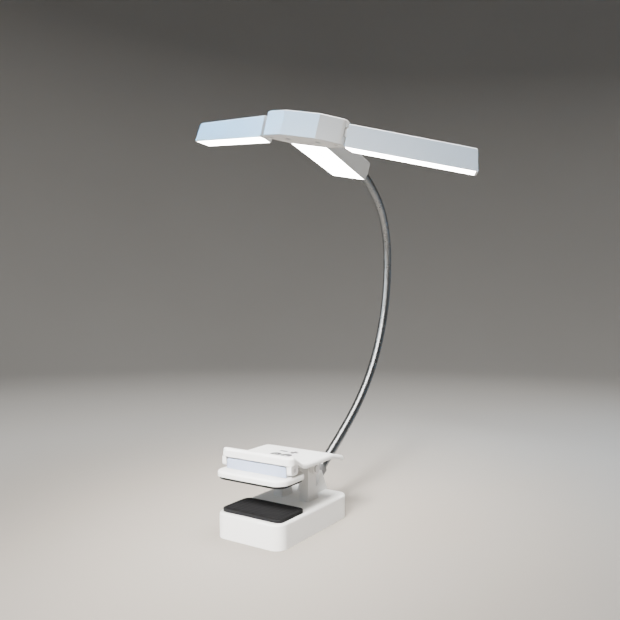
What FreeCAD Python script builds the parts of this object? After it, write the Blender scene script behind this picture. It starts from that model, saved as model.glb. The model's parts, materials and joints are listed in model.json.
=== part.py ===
"""Clip-on book light: a spring clip with a battery base, a bendable neck and three folding light bars.

X runs across the clip, Y rearward from the jaws and Z up. The origin is the centre of the lower
jaw's gripping face. Lengths are in millimetres and angles in degrees.
"""
import FreeCAD, Part
import math
import os

import Sketcher

Vector = FreeCAD.Vector

SIZES = (
    # The jaws and the battery base under them
    ("grip", 18.0, "thickness of the board held at rest"),
    ("pad_width", 44.0, "lower pad, across"),
    ("pad_length", 26.0, "lower pad, front to rear"),
    ("pad_thick", 2.0, "lower pad thickness"),
    ("pad_corner", 4.0, "lower pad corner radius"),
    ("base_width", 48.0, "base, across"),
    ("base_front", 16.0, "base front edge ahead of the pad centre"),
    ("base_rear", 62.0, "base rear edge behind the pad centre"),
    ("base_height", 15.0, "base, top to bottom"),
    ("base_corner", 7.0, "base corner radius in plan"),
    ("base_edge", 1.5, "rounding of the base's top edge"),
    ("base_wall", 2.0, "base wall thickness"),
    ("cover_thick", 2.0, "bottom cover thickness"),
    ("cover_gap", 0.1, "gap between the cover and the walls"),
    ("boss_radius", 2.2, "screw boss radius"),
    ("boss_inset", 5.6, "screw boss centre from the base's outside"),
    ("screw_radius", 0.9, "screw shank radius"),
    ("screw_head_radius", 1.8, "screw head radius"),
    ("screw_head_depth", 1.1, "screw head depth"),
    ("screw_length", 7.0, "screw hole, under the head"),
    ("screw_spare", 1.0, "hole left free past the screw's tip"),
    ("battery_width", 27.0, "cell, across"),
    ("battery_length", 36.0, "cell, front to rear"),
    ("battery_thick", 8.0, "cell thickness"),
    ("board_width", 27.0, "control board, across"),
    ("board_length", 24.0, "control board, front to rear"),
    ("board_thick", 1.2, "circuit board thickness"),
    ("board_post", 4.4, "height of the cover's posts under the board"),
    ("post_radius", 1.6, "post radius"),
    ("post_edge", 1.0, "post inside the board's edge"),
    ("inner_gap", 1.0, "space between the board and the base's walls"),
    ("battery_gap", 2.0, "space between the cell and the base's front wall"),
    ("socket_x", 8.4, "charging socket centre, across"),
    ("socket_width", 9.0, "charging socket, across"),
    ("socket_height", 3.2, "charging socket height"),
    ("socket_depth", 7.4, "charging socket depth"),
    ("socket_wall", 0.4, "charging socket shell thickness"),
    ("socket_recess", 1.0, "socket tongue's tip inside the rear face"),
    ("light_pipe_radius", 1.2, "charge light radius"),
    # The clip hinge
    ("hinge_y", 33.0, "hinge axis behind the pad centre"),
    ("hinge_z", 19.0, "hinge axis above the lower pad's face"),
    ("barrel_radius", 3.6, "rounded end of each hinge lug"),
    ("hinge_pin_radius", 1.5, "hinge pin radius"),
    ("pin_head_radius", 2.4, "hinge pin head radius"),
    ("pin_head", 0.9, "hinge pin head thickness"),
    ("pin_clearance", 0.05, "radial clearance of a turning pin"),
    ("press_clearance", 0.02, "radial clearance of a fixed pin"),
    ("spring_bay", 13.2, "gap between the base's hinge lugs"),
    ("base_lug", 6.6, "thickness of each base hinge lug"),
    ("base_lug_foot", 8.0, "how far the base's lug runs rearward at its foot"),
    ("side_gap", 0.4, "gap between neighbouring lugs"),
    ("lever_lug", 3.4, "thickness of each lever hinge lug"),
    ("spring_radius", 3.0, "mean radius of the spring's turns"),
    ("spring_wire", 1.0, "spring wire diameter"),
    ("spring_pitch", 1.6, "spring pitch per turn"),
    ("spring_turns", 5.0, "whole turns of the spring"),
    ("spring_reach", 4.0, "where the spring's upper leg meets the lever"),
    ("spring_foot", 5.0, "where the spring's lower leg meets the base, behind the hinge"),
    # The lever, in its own frame with the hinge as origin
    ("lever_rise", 9.6, "lever's level middle above the hinge axis"),
    ("lever_thick", 3.0, "lever sheet, top to bottom"),
    ("lever_nose", 41.2, "lever nose ahead of the hinge"),
    ("nose_rear", 37.4, "rear of the nose's top ahead of the hinge"),
    ("nose_rise", 15.8, "nose top above the hinge axis"),
    ("nose_thick", 4.9, "nose, top to bottom"),
    ("nose_round", 3.0, "bend behind the nose's top"),
    ("dip_y", 27.6, "where the slope behind the nose ends, ahead of the hinge"),
    ("dip_round", 12.0, "bend at the foot of that slope"),
    ("crest_y", 5.2, "where the tail starts to fall, behind the hinge"),
    ("crest_round", 15.0, "bend at the start of the tail"),
    ("lever_tail", 21.0, "lever tail behind the hinge"),
    ("tail_fall", 4.4, "fall of the tail"),
    ("lever_width", 52.4, "lever, across"),
    ("lever_round", 4.0, "lever corner radius in plan"),
    ("lever_edge", 1.7, "rounding of the lever's top edge"),
    ("ear_y", 36.6, "foot pivot ahead of the hinge"),
    ("ear_z", 7.9, "foot pivot above the hinge axis"),
    ("ear_front", 3.6, "ear's front ahead of the foot pivot"),
    ("ear_rear", 3.4, "ear's rear behind the foot pivot"),
    ("ear_drop", 2.8, "ear below the foot pivot"),
    ("ear_round", 1.6, "rounding of the ear's lower corners"),
    ("ear_thick", 3.2, "ear thickness"),
    ("ear_inset", 0.6, "ear inside the lever's side"),
    ("foot_pin_radius", 1.2, "foot pin radius"),
    ("foot_pin_depth", 5.0, "foot pin inside the foot"),
    ("inlay_width", 24.0, "touch field, across"),
    ("inlay_length", 9.0, "touch field, front to rear"),
    ("inlay_y", 5.5, "touch field centre ahead of the hinge"),
    ("inlay_thick", 0.5, "touch field thickness"),
    # The foot, in its own frame with its pivot as origin
    ("foot_width", 51.0, "foot, across"),
    ("foot_front", 16.5, "foot's front edge ahead of the lower pad's centre"),
    ("foot_rear", 12.0, "foot's rear edge behind the lower pad's centre"),
    ("foot_thick", 3.2, "foot plate thickness"),
    ("foot_corner", 8.0, "foot corner radius in plan"),
    ("foot_edge", 1.4, "rounding of the foot's top edge"),
    ("foot_pad", 1.6, "upper pad thickness"),
    ("foot_pad_inset", 1.2, "upper pad inside the foot's outline"),
    ("knuckle_radius", 2.6, "rounded top of the foot's upright"),
    ("panel_thick", 1.0, "front panel thickness"),
    ("panel_rise", 2.0, "front panel's top above the pivot"),
    ("panel_inset", 0.2, "front panel inside the upright's ends"),
    ("panel_round", 1.5, "rounding of the front panel's upper corners"),
    # The neck
    ("neck_radius", 3.2, "neck radius"),
    ("neck_length", 321.0, "neck between its end joints"),
    ("neck_y", 68.3, "first neck joint behind the pad centre"),
    ("neck_z", 12.4, "first neck joint above the lower pad's face"),
    ("neck_elevation", 28.35, "neck's direction at the base, above level"),
    ("neck_swing", 2.66, "neck's direction at the base, to the left"),
    ("neck_twist", -1.24, "neck's turn about its own axis at the base"),
    ("dome_step", 0.05, "dome radius below the neck radius"),
    ("cup_gap", 0.3, "clearance of each dome in its cup"),
    ("collar_radius", 4.6, "lower collar radius"),
    ("collar_length", 8.0, "lower collar length"),
    ("collar_stub", 4.0, "lower collar's end to the first neck joint"),
    ("ramp_width", 14.0, "base ramp under the neck, across"),
    ("ramp_shoulder", 5.6, "ramp above the neck's axis at its seat"),
    ("ramp_run", 9.0, "length of the ramp's front slope"),
    ("seat_depth", 0.4, "depth of the round seat for the collar in the ramp"),
    # The head, in its own frame: front of the hub as origin, Y rearward along the middle bar
    ("head_roll", 11.8, "head's roll, left side up"),
    ("hub_front", 22.8, "hub's front facet, across"),
    ("hub_width", 52.6, "hub, across"),
    ("hub_depth", 18.0, "hub, front to rear"),
    ("hub_cheek", 6.4, "where the front side facets end, behind the front"),
    ("hub_end", 6.0, "hub's end facet"),
    ("hub_rear", 25.0, "hub's rear facet, across"),
    ("hub_height", 14.8, "hub height"),
    ("hub_wall", 1.8, "hub wall thickness"),
    ("hub_round", 3.8, "rounding of the hub's ends in plan"),
    ("hub_bay", 25.0, "hub's inside, across"),
    ("hub_cover", 1.6, "hub cover thickness"),
    ("hub_boss_x", 9.8, "hub screw from the middle"),
    ("hub_board_width", 13.0, "driver board, across"),
    ("hub_board_length", 10.0, "driver board, front to rear"),
    ("hub_post", 2.4, "cover's posts under the driver board"),
    ("edge_bevel", 0.6, "bevel of the head's top edges"),
    ("bar_width", 25.0, "middle bar, across"),
    ("bar_height", 13.4, "middle bar height"),
    ("bar_lit_end", 97.0, "end of the lit underside behind the hub's front"),
    ("bar_end", 100.5, "middle bar's rear end behind the hub's front"),
    ("bar_rear_cut", 5.5, "height of the middle bar's sloping rear cut"),
    ("bar_wall", 1.2, "side wall of the light bars"),
    ("bar_roof", 2.0, "top wall of the light bars"),
    ("tenon_width", 16.0, "tenon on the middle bar, across"),
    ("tenon_height", 8.0, "tenon height"),
    ("tenon_sill", 3.0, "tenon above the head's underside"),
    ("neck_entry_z", 10.3, "neck's axis above the head's underside"),
    ("neck_entry", 11.5, "last neck joint behind the middle bar"),
    ("top_collar_radius", 4.2, "upper collar radius"),
    ("top_collar_plug", 2.2, "upper collar's plug in the middle bar, radius"),
    ("top_collar_depth", 4.0, "upper collar's plug, depth"),
    ("lens_thick", 1.6, "diffuser thickness"),
    ("lens_rim", 0.6, "rim of a bar's underside round its diffuser"),
    ("chip_size", 2.8, "light chip, square"),
    ("chip_thick", 0.7, "light chip thickness"),
    ("chip_step", 8.0, "spacing of the light chips"),
    # The wings, each in its own frame with its pivot as origin
    ("wing_pivot_inset", 4.8, "wing pivot inside the hub's end"),
    ("wing_pivot_y", 9.5, "wing pivot behind the hub's front"),
    ("wing_sweep_left", 26.7, "left wing swept back at rest"),
    ("wing_sweep_right", 14.0, "right wing swept back at rest"),
    ("wing_start", 5.3, "wing's inner end from its pivot"),
    ("wing_length", 79.5, "wing's outer top edge from its pivot"),
    ("wing_flare", 3.0, "wing's outer bottom edge beyond its top edge"),
    ("wing_front", 4.6, "wing's front face ahead of its pivot"),
    ("wing_width", 11.5, "wing, front to rear"),
    ("wing_drop", 1.0, "wing's underside below the hub's"),
    ("wing_height", 13.5, "wing height at its inner end"),
    ("wing_taper", 0.7, "loss of height to the outer end"),
    ("wing_back_cut", 3.6, "cut of the wing's inner rear corner"),
    ("wing_bay_start", 10.5, "wing's inside from its pivot"),
    ("wing_end_wall", 2.0, "wing's outer end wall"),
    ("tongue_width", 5.0, "wing's hinge tongue, across"),
    ("tongue_sill", 5.0, "tongue above the head's underside"),
    ("tongue_thick", 5.0, "tongue thickness"),
    ("tongue_gap", 0.3, "gap above and below the tongue"),
    ("wing_pin_radius", 1.5, "wing pin radius"),
    ("wing_pin_length", 12.2, "wing pin length"),
    ("wing_pin_recess", 1.0, "wing pin's end inside the hub's underside"),
)

# Each neck piece bends by its lift in the neck's own plane and by its sway out of it.
NECK_BENDS = (
    ("one", 1.35, 3.34),
    ("two", 11.84, 1.22),
    ("three", 24.5, -2.82),
    ("four", 36.48, -5.18),
    ("five", 46.12, -2.4),
    ("six", 26.49, -6.03),
)

SIDES = (-1, 1)
SAME_PLACE = 0.01
LOOKS_UP = 0.5


class Dim:
    """A size that carries its number and the expression that binds it to the sheet."""

    def __init__(self, value, text):
        self.value = float(value)
        self.text = text

    @staticmethod
    def of(other):
        """Return other as a Dim."""
        return other if isinstance(other, Dim) else Dim(other, repr(float(other)))

    def combine(self, sign, other, value):
        """Return the Dim of an operation between this size and another."""
        return Dim(value, f"({self.text} {sign} {Dim.of(other).text})")

    def __add__(self, other):
        return self.combine("+", other, self.value + Dim.of(other).value)

    def __radd__(self, other):
        return Dim.of(other) + self

    def __sub__(self, other):
        return self.combine("-", other, self.value - Dim.of(other).value)

    def __rsub__(self, other):
        return Dim.of(other) - self

    def __mul__(self, other):
        return self.combine("*", other, self.value * Dim.of(other).value)

    def __rmul__(self, other):
        return Dim.of(other) * self

    def __truediv__(self, other):
        return self.combine("/", other, self.value / Dim.of(other).value)

    def __neg__(self):
        return -1.0 * self


def cosine(angle):
    """Cosine of a Dim in degrees."""
    return Dim(math.cos(math.radians(angle.value)), f"cos({angle.text} * 1 deg)")


def sine(angle):
    """Sine of a Dim in degrees."""
    return Dim(math.sin(math.radians(angle.value)), f"sin({angle.text} * 1 deg)")


class Sizes:
    """The spreadsheet of driving dimensions, read as attributes."""

    def __init__(self, document):
        self.sheet = document.addObject("Spreadsheet::Sheet", "Sizes")
        rows = list(SIZES)
        for name, lift, sway in NECK_BENDS:
            rows.append((f"neck_lift_{name}", lift, "bend of a neck piece in the neck's plane"))
            rows.append((f"neck_sway_{name}", sway, "bend of a neck piece out of that plane"))
        for row, (alias, value, meaning) in enumerate(rows, start=1):
            self.sheet.set(f"A{row}", meaning)
            self.sheet.set(f"B{row}", str(value))
            self.sheet.setAlias(f"B{row}", alias)
        document.recompute()

    def __getattr__(self, alias):
        return Dim(self.sheet.get(alias), f"Sizes.{alias}")


doc = FreeCAD.newDocument("book_light")
S = Sizes(doc)
nodes = []


def bind(target, prop, dim):
    """Set a property to a size and bind it to the sheet."""
    dim = Dim.of(dim)
    target.setExpression(prop, dim.text)


def rectangle(x_low, x_high, y_low, y_high):
    """Corners of a rectangle."""
    return [(x_low, y_low), (x_high, y_low), (x_high, y_high), (x_low, y_high)]


def in_order(first, second):
    """Two sizes, the smaller one first."""
    return sorted((Dim.of(first), Dim.of(second)), key=lambda size: size.value)


def mirrored(points):
    """Close a right-hand outline with its mirror image across X = 0."""
    return points + [(-x, y) for x, y in reversed(points)]


class Disc:
    """A circle in a sketch."""

    def __init__(self, x, y, radius):
        self.x = x
        self.y = y
        self.radius = radius


class Piece:
    """One named body of the light, built from sketches and features."""

    NORMAL_SIGN = {"XY_Plane": 1, "XZ_Plane": -1, "YZ_Plane": 1}

    def __init__(self, label):
        self.body = doc.addObject("PartDesign::Body", label)
        self.body.Label = label
        nodes.append(self.body)

    def sketch(self, plane, offset, profiles):
        """Draw closed profiles on one of the body's own planes, moved along its normal."""
        made = self.body.newObject("Sketcher::SketchObject", f"{self.body.Name}_sketch")
        support = next(f for f in self.body.Origin.OriginFeatures if f.Role == plane)
        made.AttachmentSupport = [(support, "")]
        made.MapMode = "FlatFace"
        bind(made, "AttachmentOffset.Base.z", offset)
        for profile in profiles:
            if isinstance(profile, Disc):
                self.draw_disc(made, profile)
            else:
                self.draw_outline(made, profile)
        return made

    @staticmethod
    def pin_point(sketch, geometry, position, x, y):
        """Fix one point of a sketch at two bound distances from its origin."""
        for kind, dim in (("DistanceX", Dim.of(x)), ("DistanceY", Dim.of(y))):
            index = sketch.addConstraint(
                Sketcher.Constraint(kind, -1, 1, geometry, position, dim.value)
            )
            sketch.setExpression(f"Constraints[{index}]", dim.text)

    def draw_disc(self, sketch, disc):
        """Add a circle with a bound centre and radius."""
        radius = Dim.of(disc.radius)
        centre = Vector(Dim.of(disc.x).value, Dim.of(disc.y).value, 0)
        index = sketch.addGeometry(Part.Circle(centre, Vector(0, 0, 1), radius.value), False)
        self.pin_point(sketch, index, 3, disc.x, disc.y)
        size = sketch.addConstraint(Sketcher.Constraint("Radius", index, radius.value))
        sketch.setExpression(f"Constraints[{size}]", radius.text)

    def draw_outline(self, sketch, points):
        """Add a closed run of straight lines with bound corners."""
        corners = [Vector(Dim.of(x).value, Dim.of(y).value, 0) for x, y in points]
        count = len(corners)
        lines = [
            sketch.addGeometry(Part.LineSegment(corners[i], corners[(i + 1) % count]), False)
            for i in range(count)
        ]
        for i in range(count):
            following = lines[(i + 1) % count]
            sketch.addConstraint(Sketcher.Constraint("Coincident", lines[i], 2, following, 1))
        for line, (x, y) in zip(lines, points):
            self.pin_point(sketch, line, 1, x, y)

    def extrude(self, plane, low, high, *profiles):
        """Add the profiles' prism between two positions along the plane's axis."""
        start = low if self.NORMAL_SIGN[plane] > 0 else -1.0 * Dim.of(high)
        pad = self.body.newObject("PartDesign::Pad", f"{self.body.Name}_pad")
        pad.Profile = self.sketch(plane, start, profiles)
        bind(pad, "Length", Dim.of(high) - low)
        self.body.Tip = pad
        doc.recompute()
        return self

    def cut(self, plane, low, high, *profiles):
        """Cut the profiles' prism between two positions along the plane's axis."""
        before = self.body.Shape.Volume
        start = high if self.NORMAL_SIGN[plane] > 0 else -1.0 * Dim.of(low)
        pocket = self.body.newObject("PartDesign::Pocket", f"{self.body.Name}_pocket")
        pocket.Profile = self.sketch(plane, start, profiles)
        bind(pocket, "Length", Dim.of(high) - low)
        self.body.Tip = pocket
        doc.recompute()
        if self.body.Shape.Volume >= before:
            raise RuntimeError(f"{self.body.Label}: a pocket cuts nothing")
        return self

    def bore(self, placement, radius, depth):
        """Cut a round seat from a placement along its Z."""
        drill = self.body.newObject("PartDesign::SubtractiveCylinder", f"{self.body.Name}_seat")
        drill.Placement = placement
        bind(drill, "Radius", radius)
        bind(drill, "Height", depth)
        self.body.Tip = drill
        doc.recompute()
        return self

    def repeat(self, plane_axis, spacing, count):
        """Repeat the last feature along one of the body's axes."""
        feature = self.body.Tip
        axis = next(f for f in self.body.Origin.OriginFeatures if f.Role == plane_axis)
        pattern = self.body.newObject("PartDesign::LinearPattern", f"{self.body.Name}_row")
        pattern.Originals = [feature]
        pattern.Direction = (axis, [""])
        pattern.Occurrences = count
        bind(pattern, "Length", spacing * (count - 1))
        self.body.Tip = pattern
        doc.recompute()
        return self

    def dress(self, kind, prop, dim, wanted):
        """Round or bevel the edges that a test picks."""
        base = self.body.Tip
        names = [f"Edge{i}" for i, edge in enumerate(base.Shape.Edges, start=1) if wanted(edge)]
        if not names:
            raise RuntimeError(f"{self.body.Label}: no edge to dress")
        feature = self.body.newObject(kind, f"{self.body.Name}_edge")
        feature.Base = (base, names)
        bind(feature, prop, dim)
        self.body.Tip = feature
        doc.recompute()
        return self

    def fillet(self, radius, wanted):
        """Round the edges that a test picks."""
        return self.dress("PartDesign::Fillet", "Radius", radius, wanted)

    def bevel(self, size, wanted):
        """Bevel the edges that a test picks."""
        return self.dress("PartDesign::Chamfer", "Size", size, wanted)

    def place(self, placement):
        """Set where the body stands in the light's frame."""
        self.body.Placement = placement
        return self


def upright(edge):
    """Whether an edge runs along Z."""
    box = edge.BoundBox
    return box.ZLength > SAME_PLACE and max(box.XLength, box.YLength) < SAME_PLACE


def at_height(level):
    """A test for edges that lie at one height."""
    height = Dim.of(level).value

    def wanted(edge):
        box = edge.BoundBox
        return abs(box.ZMin - height) < SAME_PLACE and abs(box.ZMax - height) < SAME_PLACE

    return wanted


def primitive(kind, name, placement=None, **sizes):
    """Add a Part primitive with bound sizes."""
    made = doc.addObject(f"Part::{kind}", name)
    for prop, dim in sizes.items():
        bind(made, prop, dim)
    if placement:
        made.Placement = placement
    return made


def joined(label, tools, holes=()):
    """Fuse primitives under a label and cut others from them."""
    result = doc.addObject("Part::MultiFuse", f"{label}_whole")
    result.Shapes = tools
    for hole in holes:
        cut = doc.addObject("Part::Cut", f"{label}_cut")
        cut.Base = result
        cut.Tool = hole
        result = cut
    result.Label = label
    nodes.append(result)
    return result


def moved(x=0.0, y=0.0, z=0.0, rotation=None):
    """A placement at a point."""
    place = Vector(*(Dim.of(value).value for value in (x, y, z)))
    return FreeCAD.Placement(place, rotation or FreeCAD.Rotation())


ALONG_X = FreeCAD.Rotation(Vector(0, 1, 0), 90)

# Levels and places that several pieces share
BASE_TOP = -S.pad_thick
BASE_BOTTOM = BASE_TOP - S.base_height
BASE_CEILING = BASE_TOP - S.base_wall
COVER_TOP = BASE_BOTTOM + S.cover_thick
BOARD_LOW = COVER_TOP + S.board_post
BOARD_HIGH = BOARD_LOW + S.board_thick
BOARD_REAR = S.base_rear - S.base_wall - S.inner_gap
SCREW_X = S.base_width / 2 - S.boss_inset
SCREW_FRONT = -S.base_front + S.boss_inset + S.base_wall
SCREW_REAR = S.base_rear - S.boss_inset
LUG_OUT = S.spring_bay / 2 + S.base_lug
LEVER_LUG_IN = LUG_OUT + S.side_gap
LEVER_LUG_OUT = LEVER_LUG_IN + S.lever_lug
LEVER_BELOW = S.lever_rise - S.lever_thick
EAR_OUT = S.lever_width / 2 - S.ear_inset
EAR_IN = EAR_OUT - S.ear_thick
NOSE_BELOW = S.nose_rise - S.nose_thick
FOOT_PIVOT_Y = S.hinge_y - S.ear_y
FOOT_PIVOT_Z = S.hinge_z + S.ear_z
FOOT_RISE = FOOT_PIVOT_Z - S.grip
FOOT_PAD_TOP = S.foot_pad - FOOT_RISE
FOOT_PLATE_TOP = FOOT_PAD_TOP + S.foot_thick
WING_PIVOT_X = S.hub_width / 2 - S.wing_pivot_inset
DOME_RADIUS = S.neck_radius - S.dome_step
CUP_RADIUS = DOME_RADIUS + S.cup_gap


def four_corners(radius):
    """Discs at the four base screws."""
    return [Disc(side * SCREW_X, y, radius) for side in SIDES for y in (SCREW_FRONT, SCREW_REAR)]


def board_posts():
    """Discs under the control board's corners."""
    inset = S.post_radius + S.post_edge
    across = S.board_width / 2 - inset
    rows = (BOARD_REAR - S.board_length + inset, BOARD_REAR - inset - S.socket_depth)
    return [Disc(side * across, y, S.post_radius) for side in SIDES for y in rows]


def neck_start():
    """Placement of the first neck joint, its Z along the neck and its X across the clip."""
    turn = FreeCAD.Rotation(Vector(0, 0, 1), S.neck_swing.value)
    lean = FreeCAD.Rotation(Vector(1, 0, 0), S.neck_elevation.value - 90)
    twist = FreeCAD.Rotation(Vector(0, 0, 1), S.neck_twist.value)
    return moved(0, S.neck_y, S.neck_z, turn.multiply(lean).multiply(twist))


def neck_joints():
    """Placements of the neck's joints, from the base to the head."""
    joints = [neck_start()]
    piece = S.neck_length.value / len(NECK_BENDS)
    for name, _, _ in NECK_BENDS:
        bend, heading = neck_bend(name)
        radius = piece / math.radians(bend)
        plane = FreeCAD.Placement(Vector(), FreeCAD.Rotation(Vector(0, 0, 1), heading))
        arc = FreeCAD.Placement(
            Vector(0, 0, 0),
            FreeCAD.Rotation(Vector(1, 0, 0), bend),
            Vector(0, -radius, 0),
        )
        joints.append(joints[-1].multiply(plane).multiply(arc).multiply(plane.inverse()))
    return joints


def neck_bend(name):
    """Return a neck piece's whole bend and the heading of its plane about the neck's axis."""
    lift = getattr(S, f"neck_lift_{name}").value
    sway = getattr(S, f"neck_sway_{name}").value
    return math.hypot(lift, sway), math.degrees(math.atan2(-sway, lift))


def base_pieces():
    """The battery base: housing, cover, cell, board, socket, charge light and lower pad."""
    half = S.base_width / 2
    outline = rectangle(-half, half, -S.base_front, S.base_rear)
    wall = S.base_wall
    inside = rectangle(-half + wall, half - wall, -S.base_front + wall, S.base_rear - wall)
    housing = Piece("base_housing")
    housing.extrude("XY_Plane", BASE_BOTTOM, BASE_TOP, outline)
    housing.cut("XY_Plane", BASE_BOTTOM, BASE_CEILING, inside)
    housing.fillet(S.base_corner - wall, corner_edge(inside))
    housing.fillet(S.base_corner, corner_edge(outline))
    housing.fillet(S.base_edge, at_height(BASE_TOP))
    housing.extrude("XY_Plane", COVER_TOP, BASE_CEILING, *four_corners(S.boss_radius))
    housing.cut("XY_Plane", COVER_TOP, COVER_TOP + S.screw_length, *four_corners(
        S.screw_radius + S.press_clearance))
    housing.extrude("XY_Plane", BOARD_HIGH, BASE_CEILING, *board_posts())
    hinge_lugs(housing)
    neck_ramp(housing)
    socket = socket_outline(0.0)
    light = Disc(-S.socket_x, BOARD_HIGH + S.socket_height / 2, S.light_pipe_radius)
    housing.cut("XZ_Plane", S.base_rear - wall, S.base_rear, socket, light)

    gap = wall + S.cover_gap
    plate = rectangle(-half + gap, half - gap, -S.base_front + gap, S.base_rear - gap)
    cover = Piece("base_cover")
    cover.extrude("XY_Plane", BASE_BOTTOM, COVER_TOP, plate)
    cover.fillet(S.base_corner - wall, upright)
    cover.extrude("XY_Plane", COVER_TOP, BOARD_LOW, *board_posts())
    cover.cut("XY_Plane", BASE_BOTTOM, COVER_TOP, *four_corners(S.screw_radius + S.pin_clearance))
    cover.cut("XY_Plane", BASE_BOTTOM, BASE_BOTTOM + S.screw_head_depth, *four_corners(
        S.screw_head_radius + S.pin_clearance))

    across = S.battery_width / 2
    front = -S.base_front + wall + S.battery_gap
    cell = Piece("battery")
    cell.extrude("XY_Plane", COVER_TOP, COVER_TOP + S.battery_thick,
                 rectangle(-across, across, front, front + S.battery_length))
    cell.fillet(S.base_edge, at_height(COVER_TOP + S.battery_thick))

    across = S.board_width / 2
    board = Piece("control_board")
    board.extrude("XY_Plane", BOARD_LOW, BOARD_HIGH,
                  rectangle(-across, across, BOARD_REAR - S.board_length, BOARD_REAR))

    charging_socket()
    pipe = Piece("charge_light")
    pipe.extrude("XZ_Plane", S.base_rear - wall, S.base_rear, light)

    across = S.pad_width / 2
    pad = Piece("lower_pad")
    pad.extrude("XY_Plane", BASE_TOP, 0.0,
                rectangle(-across, across, -S.pad_length / 2, S.pad_length / 2))
    pad.fillet(S.pad_corner, upright)


def corner_edge(outline):
    """A test for the upright edges at an outline's corners."""
    corners = [Vector(Dim.of(x).value, Dim.of(y).value, 0) for x, y in outline]

    def wanted(edge):
        centre = edge.BoundBox.Center
        flat = Vector(centre.x, centre.y, 0)
        return upright(edge) and any(flat.sub(c).Length < SAME_PLACE for c in corners)

    return wanted


def hinge_lugs(housing):
    """Two lugs that carry the hinge pin behind the held board's edge."""
    barrel = S.barrel_radius
    lug = [
        (S.hinge_y - barrel, BASE_TOP),
        (S.hinge_y + S.base_lug_foot, BASE_TOP),
        (S.hinge_y + barrel, S.hinge_z),
        (S.hinge_y - barrel, S.hinge_z),
    ]
    for low, high in ((-LUG_OUT, -S.spring_bay / 2), (S.spring_bay / 2, LUG_OUT)):
        housing.extrude("YZ_Plane", low, high, lug)
        housing.extrude("YZ_Plane", low, high, Disc(S.hinge_y, S.hinge_z, barrel))
    housing.cut("YZ_Plane", -LUG_OUT, LUG_OUT, Disc(
        S.hinge_y, S.hinge_z, S.hinge_pin_radius + S.press_clearance))


def neck_ramp(housing):
    """The ramp at the base's rear whose sloping end seats the neck's collar squarely."""
    back = S.collar_length + S.collar_stub
    along_y = cosine(S.neck_elevation)
    along_z = sine(S.neck_elevation)
    seat_y = S.neck_y - (back - S.seat_depth) * along_y
    seat_z = S.neck_z - (back - S.seat_depth) * along_z
    shoulder_y = seat_y - S.ramp_shoulder * along_z
    shoulder_z = seat_z + S.ramp_shoulder * along_y
    drop = (seat_z - BASE_TOP) / along_y
    half = S.ramp_width / 2
    housing.extrude("YZ_Plane", -half, half, [
        (shoulder_y - S.ramp_run, BASE_TOP),
        (seat_y + drop * along_z, BASE_TOP),
        (shoulder_y, shoulder_z),
    ])
    housing.bore(neck_start().multiply(moved(0, 0, -back)), S.collar_radius + S.press_clearance, back)


def socket_outline(inset):
    """The charging socket's outline on the base's rear wall."""
    half = S.socket_width / 2 - inset
    return rectangle(S.socket_x - half, S.socket_x + half,
                     BOARD_HIGH + inset, BOARD_HIGH + S.socket_height - inset)


def charging_socket():
    """A charging inlet on the control board: a shell with a tongue inside."""
    rear = S.base_rear
    front = rear - S.socket_depth
    middle = BOARD_HIGH + S.socket_height / 2
    inlet = Piece("usb_socket")
    inlet.extrude("XZ_Plane", front, rear, socket_outline(0.0))
    inlet.cut("XZ_Plane", front + S.socket_wall, rear, socket_outline(S.socket_wall))
    tongue = S.socket_width / 4
    thick = S.socket_wall
    inlet.extrude("XZ_Plane", front, rear - S.socket_recess, rectangle(
        S.socket_x - tongue, S.socket_x + tongue, middle - thick / 2, middle + thick / 2))


def screws(label, places, seat):
    """Pan-head screws driven upward from one level, as one node."""
    shank = S.screw_radius.value
    head = S.screw_head_radius.value
    depth = S.screw_head_depth.value
    length = (S.screw_head_depth + S.screw_length - S.screw_spare).value
    solids = []
    for x, y in places:
        foot = Vector(x.value, y.value, seat.value)
        shaft = Part.makeCylinder(shank, length, foot)
        solids.append(Part.makeCylinder(head, depth, foot).fuse(shaft).removeSplitter())
    made = doc.addObject("Part::Feature", label)
    made.Label = label
    made.Shape = Part.makeCompound(solids)
    nodes.append(made)
    return made


def hinge_pieces():
    """The clip's hinge pin and its closing spring."""
    pin = Piece("hinge_pin")
    pin.extrude("YZ_Plane", -LEVER_LUG_OUT, LEVER_LUG_OUT, Disc(0.0, 0.0, S.hinge_pin_radius))
    for low, high in ((-LEVER_LUG_OUT - S.pin_head, -LEVER_LUG_OUT),
                      (LEVER_LUG_OUT, LEVER_LUG_OUT + S.pin_head)):
        pin.extrude("YZ_Plane", low, high, Disc(0.0, 0.0, S.pin_head_radius))
    pin.place(moved(0, S.hinge_y, S.hinge_z))
    closing_spring()


def biarc(start, start_way, end, end_way):
    """Two tangent arcs from one point and direction to another."""
    chord = end.sub(start)
    both = start_way + end_way
    spread = 2.0 * (1.0 - start_way.dot(end_way))
    reach = (-chord.dot(both) + math.sqrt(chord.dot(both) ** 2 + spread * chord.dot(chord))) / spread
    leave = start + start_way * reach
    arrive = end - end_way * reach
    middle = (leave + arrive) * 0.5
    return [arc_through(start, leave, middle), arc_through(middle, arrive, end)]


def arc_through(start, corner, end):
    """The arc that leaves start and reaches end along the two sides that meet at a corner."""
    weight = (corner - start).normalize().dot((end - start).normalize())
    middle = (start + corner * (2.0 * weight) + end) * (1.0 / (2.0 + 2.0 * weight))
    return Part.Arc(start, middle, end).toShape()


def coil_leaves(point, radius):
    """Angle at which a leg that ends at a point leaves the coil."""
    return math.atan2(point[1], point[0]) + math.acos(radius / math.hypot(*point))


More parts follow.
